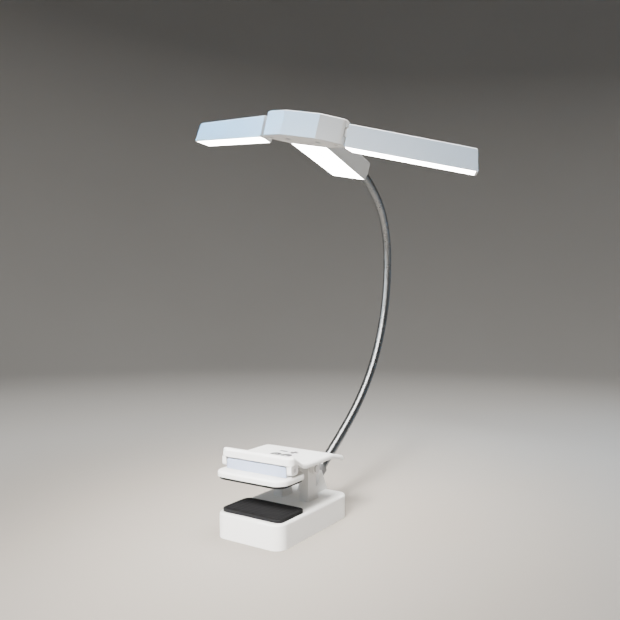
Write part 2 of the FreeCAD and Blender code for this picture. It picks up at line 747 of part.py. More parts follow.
def closing_spring():
    """A torsion spring round the hinge pin, with a leg on the lever and a leg on the base."""
    radius = S.spring_radius.value
    wire = S.spring_wire.value / 2
    upper = (S.spring_reach.value, LEVER_BELOW.value - wire)
    lean = coil_leaves(upper, radius) - math.pi / 2
    upper = (S.spring_reach.value, LEVER_BELOW.value - wire * math.cos(lean))
    lower = (S.spring_foot.value, BASE_TOP.value + wire - S.hinge_z.value)
    first = coil_leaves(upper, radius)
    last = math.atan2(lower[1], lower[0]) - math.acos(radius / math.hypot(*lower))
    last += 2.0 * math.pi * (S.spring_turns.value + 1)
    rise = S.spring_pitch.value / (2.0 * math.pi)
    middle = (first + last) / 2

    def on_coil(angle):
        return Vector((angle - middle) * rise, radius * math.cos(angle), radius * math.sin(angle))

    def way(angle):
        return Vector(rise, -radius * math.sin(angle), radius * math.cos(angle)).normalize()

    quarters = math.ceil((last - first) / (math.pi / 2))
    angles = [first + (last - first) * i / quarters for i in range(quarters + 1)]
    begin = on_coil(first) - way(first) * math.sqrt(math.hypot(*upper) ** 2 - radius ** 2)
    edges = [Part.LineSegment(begin, on_coil(first)).toShape()]
    for low, high in zip(angles, angles[1:]):
        edges += biarc(on_coil(low), way(low), on_coil(high), way(high))
    leg = math.sqrt(math.hypot(*lower) ** 2 - radius ** 2)
    edges.append(Part.LineSegment(on_coil(last), on_coil(last) + way(last) * leg).toShape())
    path = Part.Wire(edges)
    section = Part.Wire(Part.Circle(begin, way(first), wire).toShape())
    solid = path.makePipeShell([section], True, False)
    spring = doc.addObject("Part::Feature", "clip_spring")
    spring.Label = "clip_spring"
    spring.Shape = solid
    spring.Placement = moved(0, S.hinge_y, S.hinge_z)
    nodes.append(spring)
    turns_apart = S.spring_pitch.value * math.cos(math.atan(rise / radius))
    print(f"clip_spring: least gap to itself {turns_apart - 2 * wire:.2f} mm")


def across_at(*corners):
    """A test for the edges that run along X through the given (y, z) corners."""
    places = [(Dim.of(y).value, Dim.of(z).value) for y, z in corners]

    def wanted(edge):
        box = edge.BoundBox
        if box.XLength < SAME_PLACE or max(box.YLength, box.ZLength) > SAME_PLACE:
            return False
        return any(math.hypot(box.YMin - y, box.ZMin - z) < SAME_PLACE for y, z in places)

    return wanted


def rim_of_top(shape):
    """A test for a shape's edges between an upright side and a face that looks up."""

    def way(face, point):
        return face.normalAt(*face.Surface.parameter(point)).z

    def wanted(edge):
        point = edge.valueAt((edge.FirstParameter + edge.LastParameter) / 2)
        ways = sorted((way(face, point) for face in shape.ancestorsOfType(edge, Part.Face)), key=abs)
        return len(ways) == 2 and abs(ways[0]) < SAME_PLACE and ways[1] > LOOKS_UP

    return wanted


def lever_sheet(lever):
    """The lever's sheet: a nose bar, a slope, a level middle and a falling tail."""
    nose = -S.lever_nose
    tail_top = S.lever_rise - S.tail_fall
    slope = (S.nose_rise - S.lever_rise) / (S.nose_rear - S.dip_y)
    nose_foot = -S.dip_y - (NOSE_BELOW - LEVER_BELOW) / slope
    half = S.lever_width / 2
    lever.extrude("YZ_Plane", -half, half, [
        (nose, S.nose_rise),
        (-S.nose_rear, S.nose_rise),
        (-S.dip_y, S.lever_rise),
        (S.crest_y, S.lever_rise),
        (S.lever_tail, tail_top),
        (S.lever_tail, tail_top - S.lever_thick),
        (S.crest_y, LEVER_BELOW),
        (-S.dip_y, LEVER_BELOW),
        (nose_foot, NOSE_BELOW),
        (nose, NOSE_BELOW),
    ])
    lever.fillet(S.lever_round, upright)
    lever.fillet(S.nose_round, across_at((-S.nose_rear, S.nose_rise)))
    lever.fillet(S.dip_round, across_at((-S.dip_y, S.lever_rise), (-S.dip_y, LEVER_BELOW)))
    lever.fillet(S.crest_round, across_at((S.crest_y, S.lever_rise), (S.crest_y, LEVER_BELOW)))
    lever.fillet(S.lever_edge, rim_of_top(lever.body.Tip.Shape))


def lever_pieces():
    """The lever with its ears and hinge lugs, the touch field and the foot's pins."""
    frame = moved(0, S.hinge_y, S.hinge_z)
    lever = Piece("lever_plate")
    lever_sheet(lever)
    ear = rectangle(-S.ear_y - S.ear_front, -S.ear_y + S.ear_rear, S.ear_z - S.ear_drop, NOSE_BELOW)
    lug = rectangle(-S.barrel_radius, S.barrel_radius, 0.0, LEVER_BELOW)
    for sign in SIDES:
        low, high = in_order(sign * EAR_IN, sign * EAR_OUT)
        lever.extrude("YZ_Plane", low, high, ear)
        low, high = in_order(sign * LEVER_LUG_IN, sign * LEVER_LUG_OUT)
        lever.extrude("YZ_Plane", low, high, lug)
        lever.extrude("YZ_Plane", low, high, Disc(0.0, 0.0, S.barrel_radius))
    lever.fillet(S.ear_round, across_at(ear[0], ear[1]))
    lever.cut("YZ_Plane", -LEVER_LUG_OUT, LEVER_LUG_OUT,
              Disc(0.0, 0.0, S.hinge_pin_radius + S.pin_clearance))
    lever.cut("YZ_Plane", -EAR_OUT, EAR_OUT,
              Disc(-S.ear_y, S.ear_z, S.foot_pin_radius + S.press_clearance))
    field = rectangle(-S.inlay_width / 2, S.inlay_width / 2,
                      -S.inlay_y - S.inlay_length / 2, -S.inlay_y + S.inlay_length / 2)
    lever.cut("XY_Plane", S.lever_rise - S.inlay_thick, S.lever_rise, field)
    lever.place(frame)

    inlay = Piece("touch_inlay")
    inlay.extrude("XY_Plane", S.lever_rise - S.inlay_thick, S.lever_rise, field)
    inlay.place(frame)

    pins = []
    for sign in SIDES:
        start = EAR_OUT if sign < 0 else EAR_IN - S.side_gap - S.foot_pin_depth
        place = moved(sign * start, FOOT_PIVOT_Y, FOOT_PIVOT_Z, ALONG_X)
        pins.append(primitive("Cylinder", "foot_pin", place, Radius=S.foot_pin_radius,
                              Height=S.ear_thick + S.side_gap + S.foot_pin_depth))
    pair = doc.addObject("Part::Compound", "foot_pins")
    pair.Label = "foot_pins"
    pair.Links = pins
    nodes.append(pair)


def runs_rearward_at(level):
    """A test for the edges along Y at one height."""
    flat = at_height(level)

    def wanted(edge):
        return flat(edge) and edge.BoundBox.XLength < SAME_PLACE

    return wanted


def foot_pieces():
    """The tilting foot with its front panel and upper pad, in a frame at its pivot."""
    frame = moved(0, FOOT_PIVOT_Y, FOOT_PIVOT_Z)
    half = S.foot_width / 2
    front = -S.foot_front - FOOT_PIVOT_Y
    rear = S.foot_rear - FOOT_PIVOT_Y
    upright_half = EAR_IN - S.side_gap
    foot = Piece("foot_plate")
    foot.extrude("XY_Plane", FOOT_PAD_TOP, FOOT_PLATE_TOP, rectangle(-half, half, front, rear))
    foot.fillet(S.foot_corner, upright)
    foot.fillet(S.foot_edge, at_height(FOOT_PLATE_TOP))
    foot.extrude("YZ_Plane", -upright_half, upright_half, rectangle(
        -S.knuckle_radius, S.knuckle_radius, FOOT_PLATE_TOP, 0.0))
    foot.extrude("YZ_Plane", -upright_half, upright_half, Disc(0.0, 0.0, S.knuckle_radius))
    hole = Disc(0.0, 0.0, S.foot_pin_radius + S.pin_clearance)
    depth = S.foot_pin_depth + S.side_gap
    foot.cut("YZ_Plane", -upright_half, -upright_half + depth, hole)
    foot.cut("YZ_Plane", upright_half - depth, upright_half, hole)
    foot.place(frame)

    across = upright_half - S.panel_inset
    panel = Piece("foot_panel")
    panel.extrude("XZ_Plane", -S.knuckle_radius - S.panel_thick, -S.knuckle_radius,
                  rectangle(-across, across, FOOT_PLATE_TOP, S.panel_rise))
    panel.fillet(S.panel_round, runs_rearward_at(S.panel_rise))
    panel.place(frame)

    inset = S.foot_pad_inset
    pad = Piece("upper_pad")
    pad.extrude("XY_Plane", -FOOT_RISE, FOOT_PAD_TOP,
                rectangle(-half + inset, half - inset, front + inset, rear - inset))
    pad.fillet(S.foot_corner - inset, upright)
    pad.place(frame)


def neck_pieces(joints):
    """The neck: a lower collar, curved pieces with a cup and a dome, each turning in the next."""
    plain = FreeCAD.Rotation()
    collar = joined("neck_bottom_collar", [
        primitive("Cylinder", "collar_body", Radius=S.collar_radius, Height=S.collar_length),
        primitive("Cylinder", "collar_tip", Radius=S.neck_radius, Height=S.collar_length + S.collar_stub),
        primitive("Sphere", "collar_dome", moved(0, 0, S.collar_length + S.collar_stub),
                  Radius=DOME_RADIUS),
    ])
    back = (S.collar_length + S.collar_stub).value
    collar.Placement = joints[0].multiply(FreeCAD.Placement(Vector(0, 0, -back), plain))
    piece = S.neck_length / len(NECK_BENDS)
    for (name, _, _), joint in zip(NECK_BENDS, joints):
        bend, heading = neck_bend(name)
        lift = getattr(S, f"neck_lift_{name}")
        sway = getattr(S, f"neck_sway_{name}")
        turn = Dim(bend, f"sqrt({lift.text} ^ 2 + {sway.text} ^ 2)")
        radius = piece * 180.0 / (turn * math.pi)
        tube = primitive("Torus", f"neck_tube_{name}", Radius1=radius, Radius2=S.neck_radius, Angle3=turn)
        end = moved(radius * cosine(turn), radius * sine(turn), 0)
        dome = primitive("Sphere", f"neck_dome_{name}", end, Radius=DOME_RADIUS)
        cup = primitive("Sphere", f"neck_cup_{name}", moved(radius, 0, 0), Radius=CUP_RADIUS)
        made = joined(f"neck_piece_{name}", [tube, dome], [cup])
        # The arc starts at X = radius and heads along Y: stand it on the joint, bending rearward side in.
        stand = FreeCAD.Placement(Vector(), FreeCAD.Rotation(Vector(0, 0, 1), heading))
        lie = FreeCAD.Placement(
            Vector(0, -radius.value, 0),
            FreeCAD.Rotation(Vector(0, 1, 0), Vector(0, 0, 1), Vector(1, 0, 0), "XYZ"),
        )
        made.Placement = joint.multiply(stand).multiply(lie)


def head_frame(joints):
    """Placement of the head: its Y runs back along the middle bar to the neck's last joint."""
    end = joints[-1]
    rearward = end.Rotation.multVec(Vector(0, 0, -1))
    level = rearward.cross(Vector(0, 0, 1)).normalize()
    roll = FreeCAD.Rotation(rearward, S.head_roll.value)
    across = roll.multVec(level)
    up = across.cross(rearward)
    turn = FreeCAD.Rotation(across, rearward, up, "XYZ")
    entry = Vector(0, (S.bar_end + S.neck_entry).value, S.neck_entry_z.value)
    return FreeCAD.Placement(end.Base - turn.multVec(entry), turn)


def hub_pieces(frame):
    """The hub: a faceted shell with a slot at each end for a wing, its cover, screws and board."""
    outline = mirrored([
        (S.hub_front / 2, 0.0),
        (S.hub_width / 2, S.hub_cheek),
        (S.hub_width / 2, S.hub_cheek + S.hub_end),
        (S.hub_rear / 2, S.hub_depth),
    ])
    bay = rectangle(-S.hub_bay / 2, S.hub_bay / 2, S.hub_wall, S.hub_depth - S.hub_wall)
    ceiling = S.hub_height - S.hub_wall
    middle = S.hub_depth / 2
    bosses = [Disc(sign * S.hub_boss_x, middle, S.boss_radius) for sign in SIDES]
    shell = Piece("hub_shell")
    shell.extrude("XY_Plane", 0.0, S.hub_height, outline)
    shell.fillet(S.hub_round, corner_edge(outline[1:3] + outline[5:7]))
    shell.bevel(S.edge_bevel, at_height(S.hub_height))
    shell.cut("XY_Plane", 0.0, ceiling, bay)
    shell.extrude("XY_Plane", S.hub_cover, ceiling, *bosses)
    shell.cut("XY_Plane", S.hub_cover, S.hub_cover + S.screw_length, *[
        Disc(disc.x, disc.y, S.screw_radius + S.press_clearance) for disc in bosses])
    slot_low = S.tongue_sill - S.tongue_gap
    slot_high = S.tongue_sill + S.tongue_thick + S.tongue_gap
    inner = WING_PIVOT_X - S.tongue_width / 2 - S.tongue_gap
    for sign in SIDES:
        low, high = in_order(sign * inner, sign * S.hub_width)
        shell.cut("XY_Plane", slot_low, slot_high, rectangle(
            low, high, S.wing_pivot_y - S.tongue_width / 2 - S.tongue_gap, S.hub_depth))
    shell.cut("XY_Plane", 0.0, S.wing_pin_recess + S.wing_pin_length, *[
        Disc(sign * WING_PIVOT_X, S.wing_pivot_y, S.wing_pin_radius + S.press_clearance)
        for sign in SIDES])
    shell.cut("XZ_Plane", S.hub_depth - S.hub_wall, S.hub_depth, tenon_outline())
    shell.place(frame)

    posts = [Disc(0.0, middle + way * S.hub_board_length / 4, S.post_radius) for way in SIDES]
    cover = Piece("hub_cover")
    cover.extrude("XY_Plane", 0.0, S.hub_cover, bay)
    cover.extrude("XY_Plane", S.hub_cover, S.hub_cover + S.hub_post, *posts)
    cover.cut("XY_Plane", 0.0, S.hub_cover, *[
        Disc(disc.x, disc.y, S.screw_radius + S.pin_clearance) for disc in bosses])
    cover.cut("XY_Plane", 0.0, S.screw_head_depth, *[
        Disc(disc.x, disc.y, S.screw_head_radius + S.pin_clearance) for disc in bosses])
    cover.place(frame)

    board = Piece("hub_board")
    low = S.hub_cover + S.hub_post
    board.extrude("XY_Plane", low, low + S.board_thick, rectangle(
        -S.hub_board_width / 2, S.hub_board_width / 2,
        middle - S.hub_board_length / 2, middle + S.hub_board_length / 2))
    board.place(frame)

    screws("hub_screws", [(disc.x, disc.y) for disc in bosses], Dim.of(0.0)).Placement = frame

    pins = [
        primitive("Cylinder", "wing_pin", moved(sign * WING_PIVOT_X, S.wing_pivot_y, S.wing_pin_recess),
                  Radius=S.wing_pin_radius, Height=S.wing_pin_length)
        for sign in SIDES
    ]
    pair = doc.addObject("Part::Compound", "wing_pins")
    pair.Label = "wing_pins"
    pair.Links = pins
    pair.Placement = frame
    nodes.append(pair)


def tenon_outline():
    """The middle bar's tenon, seen from the front."""
    half = S.tenon_width / 2
    return rectangle(-half, half, S.tenon_sill, S.tenon_sill + S.tenon_height)


def light_bar(name, frame, window, bay, low, roof, axis, chips):
    """The diffuser in a bar's window and the light board at the roof of its bay."""
    x_low, x_high, y_low, y_high = bay
    lens = Piece(f"{name}_diffuser")
    lens.extrude("XY_Plane", low, low + S.lens_thick, window)
    lens.place(frame)
    board = Piece(f"{name}_led_board")
    board.extrude("XY_Plane", roof - S.board_thick, roof, rectangle(*bay))
    margin = S.chip_step / 2
    half = S.chip_size / 2
    if axis == "Y_Axis":
        first_x, first_y = (x_low + x_high) / 2, y_low + margin
    else:
        first_x, first_y = x_low + margin, (y_low + y_high) / 2
    board.extrude("XY_Plane", roof - S.board_thick - S.chip_thick, roof - S.board_thick, rectangle(
        first_x - half, first_x + half, first_y - half, first_y + half))
    board.repeat(axis, S.chip_step, chips)
    board.place(frame)


def bar_pieces(frame):
    """The middle bar: a channel open below, with a tenon in the hub and the neck's upper collar."""
    half = S.bar_width / 2
    front = S.hub_depth
    side = [
        (front, 0.0),
        (S.bar_lit_end, 0.0),
        (S.bar_end, S.bar_rear_cut),
        (S.bar_end, S.bar_height),
        (front, S.bar_height),
    ]
    roof = S.bar_height - S.bar_roof
    bay = (-half + S.bar_wall, half - S.bar_wall, front + S.bar_wall, S.bar_lit_end - S.bar_wall)
    bar = Piece("bar_housing")
    bar.extrude("YZ_Plane", -half, half, side)
    bar.bevel(S.edge_bevel, at_height(S.bar_height))
    window = rectangle(-half + S.lens_rim, half - S.lens_rim, front + S.lens_rim, S.bar_lit_end - S.lens_rim)
    bar.cut("XY_Plane", 0.0, S.lens_thick, window)
    bar.cut("XY_Plane", S.lens_thick, roof, rectangle(*bay))
    bar.extrude("XZ_Plane", front - S.hub_wall, front, tenon_outline())
    bar.cut("XZ_Plane", S.bar_end - S.top_collar_depth, S.bar_end, Disc(
        0.0, S.neck_entry_z, S.top_collar_plug + S.press_clearance))
    bar.place(frame)
    chips = int((bay[3].value - bay[2].value) / S.chip_step.value)
    light_bar("bar", frame, window, bay, Dim.of(0.0), roof, "Y_Axis", chips)

    rim = Dim(math.sqrt(CUP_RADIUS.value ** 2 - S.neck_radius.value ** 2),
              f"sqrt({CUP_RADIUS.text} ^ 2 - Sizes.neck_radius ^ 2)")
    collar = joined("neck_top_collar", [
        primitive("Cylinder", "collar_plug", moved(0, 0, -S.top_collar_depth),
                  Radius=S.top_collar_plug, Height=S.top_collar_depth + S.neck_entry - rim),
        primitive("Cylinder", "collar_ring", Radius=S.top_collar_radius, Height=S.neck_entry - rim),
    ], [primitive("Sphere", "collar_cup", moved(0, 0, S.neck_entry), Radius=CUP_RADIUS)])
    back = FreeCAD.Rotation(Vector(1, 0, 0), -90)
    collar.Placement = frame.multiply(moved(0, S.bar_end, S.neck_entry_z, back))


def wing_pieces(frame, name, sign, sweep):
    """One wing: a channel open below with a flared outer end and a hinge tongue in the hub."""
    low = -S.wing_drop
    high = low + S.wing_height
    roof = high - S.bar_roof - S.wing_taper
    front = -S.wing_front
    rear = front + S.wing_width
    side = [
        (sign * S.wing_start, low),
        (sign * (S.wing_length + S.wing_flare), low),
        (sign * S.wing_length, high - S.wing_taper),
        (sign * S.wing_start, high),
    ]
    turn = FreeCAD.Rotation(Vector(0, 0, 1), sign * sweep.value)
    stand = frame.multiply(moved(sign * WING_PIVOT_X, S.wing_pivot_y, 0, turn))
    wing = Piece(f"{name}_housing")
    wing.extrude("XZ_Plane", front, rear, side)
    wing.bevel(S.edge_bevel, wing_top_edge(high))
    wing.cut("XY_Plane", low, high, [
        (sign * S.wing_start, 0.0),
        (sign * (S.wing_start + S.wing_back_cut), rear),
        (sign * S.wing_start, rear),
    ])
    ends = in_order(sign * S.wing_bay_start, sign * (S.wing_length - S.wing_end_wall))
    bay = (ends[0], ends[1], front + S.bar_wall, rear - S.bar_wall)
    rim = S.lens_rim
    inner = S.wing_start + rim
    outer = S.wing_length + S.wing_flare - 2 * rim
    window = [
        (sign * inner, front + rim),
        (sign * outer, front + rim),
        (sign * outer, rear - rim),
        (sign * (inner + S.wing_back_cut), rear - rim),
        (sign * inner, -rim),
    ]
    wing.cut("XY_Plane", low, low + S.lens_thick, window)
    wing.cut("XY_Plane", low + S.lens_thick, roof, rectangle(*bay))
    reach = in_order(0.0, sign * (S.wing_start + S.bar_wall))
    top = S.tongue_sill + S.tongue_thick
    wing.extrude("XY_Plane", S.tongue_sill, top, rectangle(
        reach[0], reach[1], -S.tongue_width / 2, S.tongue_width / 2))
    wing.extrude("XY_Plane", S.tongue_sill, top, Disc(0.0, 0.0, S.tongue_width / 2))
    wing.cut("XY_Plane", S.tongue_sill, top, Disc(0.0, 0.0, S.wing_pin_radius + S.pin_clearance))
    wing.place(stand)
    chips = int((ends[1].value - ends[0].value) / S.chip_step.value)
    light_bar(name, stand, window, bay, low, roof, "X_Axis", chips)


def wing_top_edge(high):
    """A test for the edges of a wing's sloping top."""
    floor = (Dim.of(high) - S.wing_taper).value - SAME_PLACE

    def wanted(edge):
        return edge.BoundBox.ZMin > floor

    return wanted


def check_and_write():
    """Refuse a failed or empty shape, then write one file per node."""
    doc.recompute()
    for item in doc.Objects:
        if "Invalid" in item.State or "Error" in item.State:
            raise RuntimeError(f"{item.Label} failed: {item.State}")
    for node in nodes:
        if node.Shape.isNull() or not node.Shape.isValid() or not node.Shape.Solids:
            raise RuntimeError(f"{node.Label} has no valid solid")
    os.makedirs("parts", exist_ok=True)
    for node in nodes:
        node.Shape.exportStep(f"parts/{node.Label}.step")
        print(f"{node.Label}: {len(node.Shape.Solids)} solid, {node.Shape.Volume:.0f} mm3")


def main():
    """Build every piece and write it."""
    joints = neck_joints()
    frame = head_frame(joints)
    base_pieces()
    corners = [(side * SCREW_X, y) for side in SIDES for y in (SCREW_FRONT, SCREW_REAR)]
    screws("base_screws", corners, BASE_BOTTOM)
    hinge_pieces()
    lever_pieces()
    foot_pieces()
    neck_pieces(joints)
    hub_pieces(frame)
    bar_pieces(frame)
    wing_pieces(frame, "left_wing", -1, S.wing_sweep_left)
    wing_pieces(frame, "right_wing", 1, S.wing_sweep_right)
    check_and_write()


main()
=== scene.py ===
"""Looks of the clip-on book light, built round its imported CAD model.

X runs across the clip, Y rearward from the jaws and Z up, in metres.
"""
import json
import logging
import math
from dataclasses import dataclass, field
from enum import Enum
from functools import reduce
from typing import Any, Iterator, Mapping, Sequence, Union

import bpy
from mathutils import Matrix, Quaternion, Vector


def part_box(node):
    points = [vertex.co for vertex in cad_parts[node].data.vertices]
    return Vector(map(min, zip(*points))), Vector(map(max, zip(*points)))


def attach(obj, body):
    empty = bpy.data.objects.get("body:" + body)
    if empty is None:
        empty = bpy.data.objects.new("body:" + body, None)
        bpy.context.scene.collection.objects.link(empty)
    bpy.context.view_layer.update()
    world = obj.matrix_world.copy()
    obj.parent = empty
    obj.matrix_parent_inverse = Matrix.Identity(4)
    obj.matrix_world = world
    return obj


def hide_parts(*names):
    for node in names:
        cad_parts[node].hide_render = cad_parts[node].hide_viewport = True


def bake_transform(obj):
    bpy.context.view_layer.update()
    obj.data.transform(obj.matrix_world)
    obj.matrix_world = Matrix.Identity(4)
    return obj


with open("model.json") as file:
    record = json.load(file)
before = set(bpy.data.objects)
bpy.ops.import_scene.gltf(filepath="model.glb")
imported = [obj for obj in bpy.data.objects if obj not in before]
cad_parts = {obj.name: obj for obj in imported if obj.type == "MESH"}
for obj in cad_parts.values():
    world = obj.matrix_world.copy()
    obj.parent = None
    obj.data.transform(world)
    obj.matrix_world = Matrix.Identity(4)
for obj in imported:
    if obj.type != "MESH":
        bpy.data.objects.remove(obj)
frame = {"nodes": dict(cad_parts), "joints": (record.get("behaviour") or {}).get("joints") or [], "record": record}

log = logging.getLogger("book_light")
MM = 0.001
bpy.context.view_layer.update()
UP = Vector((0.0, 0.0, 1.0))
ACROSS = Vector((1.0, 0.0, 0.0))
SHARP_ANGLE = math.radians(50.0)
WIRE_END_SHARE = 0.7
EDGE_SAMPLES = 4
# Sockets of a Mix node that blends colours, whose names other sockets of the node share.
MIX_SHARE, MIX_FIRST, MIX_SECOND, MIX_RESULT = 0, 6, 7, 2

Colour = tuple[float, float, float]
Shades = tuple[float, float]
Surface = tuple[list[Vector], list[tuple[int, ...]]]


class Flow:
    """A number that varies over a surface, with the operators that shader maths needs."""

    def __init__(self, recipe: "Recipe", socket: bpy.types.NodeSocket) -> None:
        """Wrap an output socket of a recipe."""
        self.recipe = recipe
        self.socket = socket

    def maths(self, operation: str, first: "Term", second: "Term" = 0.0) -> "Flow":
        """Add a Math node.

        Args:
            operation: The node's operation.
            first: Its first value.
            second: Its second value.

        Returns:
            The node's result.
        """
        node = self.recipe.node("ShaderNodeMath", {"operation": operation}, {0: first, 1: second})
        return Flow(self.recipe, node.outputs[0])

    def __add__(self, other: "Term") -> "Flow":
        """Sum."""
        return self.maths("ADD", self, other)

    __radd__ = __add__

    def __sub__(self, other: "Term") -> "Flow":
        """Difference."""
        return self.maths("SUBTRACT", self, other)

    def __rsub__(self, other: "Term") -> "Flow":
        """Difference from a plain number."""
        return self.maths("SUBTRACT", other, self)

    def __mul__(self, other: "Term") -> "Flow":
        """Product."""
        return self.maths("MULTIPLY", self, other)

    __rmul__ = __mul__

    def __abs__(self) -> "Flow":
        """Size without sign."""
        return self.maths("ABSOLUTE", self)

    def root(self) -> "Flow":
        """Square root."""
        return self.maths("SQRT", self)

    def most(self, other: "Term") -> "Flow":
        """The larger of two values."""
        return self.maths("MAXIMUM", self, other)

    def wrapped(self, period: float) -> "Flow":
        """Distance from the nearest multiple of a period."""
        return self.maths("PINGPONG", self, period / 2)

    def below(self, limit: float, soft: float) -> "Flow":
        """Mark where the value is under a limit.

        Args:
            limit: The limit.
            soft: Half the width of the mark's soft edge.

        Returns:
            One under the limit and zero above it.
        """
        node = self.recipe.node(
            "ShaderNodeMapRange",
            {"clamp": True, "interpolation_type": "SMOOTHSTEP"},
            {"Value": self - limit, "From Min": -soft, "From Max": soft, "To Min": 1.0, "To Max": 0.0},
        )
        return Flow(self.recipe, node.outputs[0])


Term = Union[Flow, float]


@dataclass(frozen=True)
class Patches:
    """A noise: how wide its patches are, how many finer layers it has and how strong these are."""

    size: float
    detail: float = 2.0
    strength: float = 0.55


@dataclass(frozen=True)
class Relief:
    """A relief: what a height of 1 stands for, the share that shows and how far edges are rounded."""

    depth: float
    share: float
    soft_edge: float = 0.0


class Recipe:
    """One material's node tree, ending in a Principled shader."""

    def __init__(self, name: str) -> None:
        """Start an empty material.

        Args:
            name: The material's name.
        """
        self.material = bpy.data.materials.new(name)
        self.material.use_nodes = True
        self.tree = self.material.node_tree
        self.tree.nodes.clear()
        self.shader = self.node("ShaderNodeBsdfPrincipled")
        self.node("ShaderNodeOutputMaterial", {}, {"Surface": self.shader.outputs[0]})
        self.place = self.node("ShaderNodeTexCoord").outputs["Object"]

    def node(self, kind: str, settings: Mapping[str, Any] | None = None,
             inputs: Mapping[Union[str, int], Any] | None = None) -> bpy.types.Node:
        """Add any node.

        Args:
            kind: The node's type.
            settings: Its own settings, set first.
            inputs: Values or links of its sockets.

        Returns:
            The node.
        """
        made = self.tree.nodes.new(kind)
        for key, value in (settings or {}).items():
            setattr(made, key, value)
        for key, value in (inputs or {}).items():
            self.feed(made.inputs[key], value)
        return made

    def feed(self, socket: bpy.types.NodeSocket, value: Any) -> None:
        """Link a socket or set its value.

        Args:
            socket: The input socket.
            value: A Flow, an output socket or a plain value.
        """
        if isinstance(value, Flow):
            self.tree.links.new(value.socket, socket)
        elif isinstance(value, bpy.types.NodeSocket):
            self.tree.links.new(value, socket)
        elif isinstance(value, tuple) and socket.type == "RGBA":
            socket.default_value = (*value, 1.0)
        else:
            socket.default_value = value

    def set(self, **values: Any) -> None:
        """Set the shader's sockets.

        Args:
            values: Each socket's value, under its name with underscores for spaces.
        """
        for name, value in values.items():
            self.feed(self.shader.inputs[name.replace("_", " ")], value)

    def axes(self) -> tuple[Flow, Flow, Flow]:
        """The three parts of a point's place on its object."""
        parts = self.node("ShaderNodeSeparateXYZ", {}, {0: self.place}).outputs
        return Flow(self, parts[0]), Flow(self, parts[1]), Flow(self, parts[2])

    def noise(self, patches: Patches) -> Flow:
        """Add a noise between 0 and 1.

        Args:
            patches: What it looks like.

        Returns:
            The noise.
        """
        made = self.node("ShaderNodeTexNoise", {}, {
            "Vector": self.place,
            "Scale": 1.0 / patches.size,
            "Detail": patches.detail,
            "Roughness": patches.strength,
        })
        return Flow(self, made.outputs[0])

    def mix(self, share: Term, first: Any, second: Any) -> bpy.types.NodeSocket:
        """Blend two colours.

        Args:
            share: Share of the second colour.
            first: The first colour.
            second: The second colour.

        Returns:
            The blended colour's socket.
        """
        inputs = {MIX_SHARE: share, MIX_FIRST: first, MIX_SECOND: second}
        return self.node("ShaderNodeMix", {"data_type": "RGBA"}, inputs).outputs[MIX_RESULT]

    def clouded(self, cloud: Flow, colour: Colour, shades: Shades) -> bpy.types.NodeSocket:
        """Vary a colour between two shades of itself.

        Args:
            cloud: What it varies with, between 0 and 1.
            colour: The colour.
            shades: What it is multiplied by at 0 and at 1.

        Returns:
            The varied colour's socket.
        """
        low, high = shades
        return self.mix(cloud, shade(colour, low), shade(colour, high))

    def emboss(self, height: Flow, relief: Relief) -> None:
        """Give the surface relief.

        Args:
            height: Height between 0 and 1.
            relief: What the height stands for.
        """
        inputs = {"Strength": relief.share, "Distance": relief.depth, "Height": height}
        if relief.soft_edge:
            bevel = self.node("ShaderNodeBevel", {"samples": EDGE_SAMPLES}, {"Radius": relief.soft_edge})
            inputs["Normal"] = bevel.outputs[0]
        self.set(Normal=self.node("ShaderNodeBump", {}, inputs).outputs[0])


def shade(colour: Colour, share: float) -> Colour:
    """A colour made lighter or darker by a share."""
    return tuple(min(1.0, part * share) for part in colour)


@dataclass(frozen=True)
class MouldedPlastic:
    """Satin moulded plastic with a fine tool grain, a little uneven where it is handled."""

    name: str
    colour: Colour
    rough: float = 0.37
    coat: float = 0.0
    coat_rough: float = 0.2
    refraction: float = 1.48
    cloud: Patches = Patches(24.0 * MM)
    shades: Shades = (0.965, 1.02)
    handled: Patches = Patches(7.0 * MM, 4.0)
    handled_change: float = 0.1
    grain: Patches = Patches(0.35 * MM, 1.0)
    relief: Relief = Relief(0.03 * MM, 0.22, 0.25 * MM)

    def make(self) -> bpy.types.Material:
        """Build the material.

        Returns:
            The material.
        """
        recipe = Recipe(self.name)
        recipe.set(
            Base_Color=recipe.clouded(recipe.noise(self.cloud), self.colour, self.shades),
            Roughness=self.rough + recipe.noise(self.handled) * self.handled_change,
            Coat_Weight=self.coat,
            Coat_Roughness=self.coat_rough,
            IOR=self.refraction,
        )
        recipe.emboss(recipe.noise(self.grain), self.relief)
        return recipe.material


@dataclass(frozen=True)
class Rubber:
    """Black moulded rubber, dull and faintly dusty."""

    name: str
    colour: Colour = (0.007, 0.007, 0.0075)
    rough: float = 0.68
    specular: float = 0.14
    dust: Patches = Patches(3.0 * MM, 5.0)
    dust_change: float = 0.2
    shades: Shades = (1.0, 2.0)
    grain: Patches = Patches(0.4 * MM)
    relief: Relief = Relief(0.06 * MM, 0.6)

    def make(self) -> bpy.types.Material:
        """Build the material.

        Returns:
            The material.
        """
        recipe = Recipe(self.name)
        dust = recipe.noise(self.dust)
        recipe.set(
            Base_Color=recipe.clouded(dust, self.colour, self.shades),
            Roughness=self.rough + dust * self.dust_change,
            Specular_IOR_Level=self.specular,
        )
        recipe.emboss(recipe.noise(self.grain), self.relief)
        return recipe.material


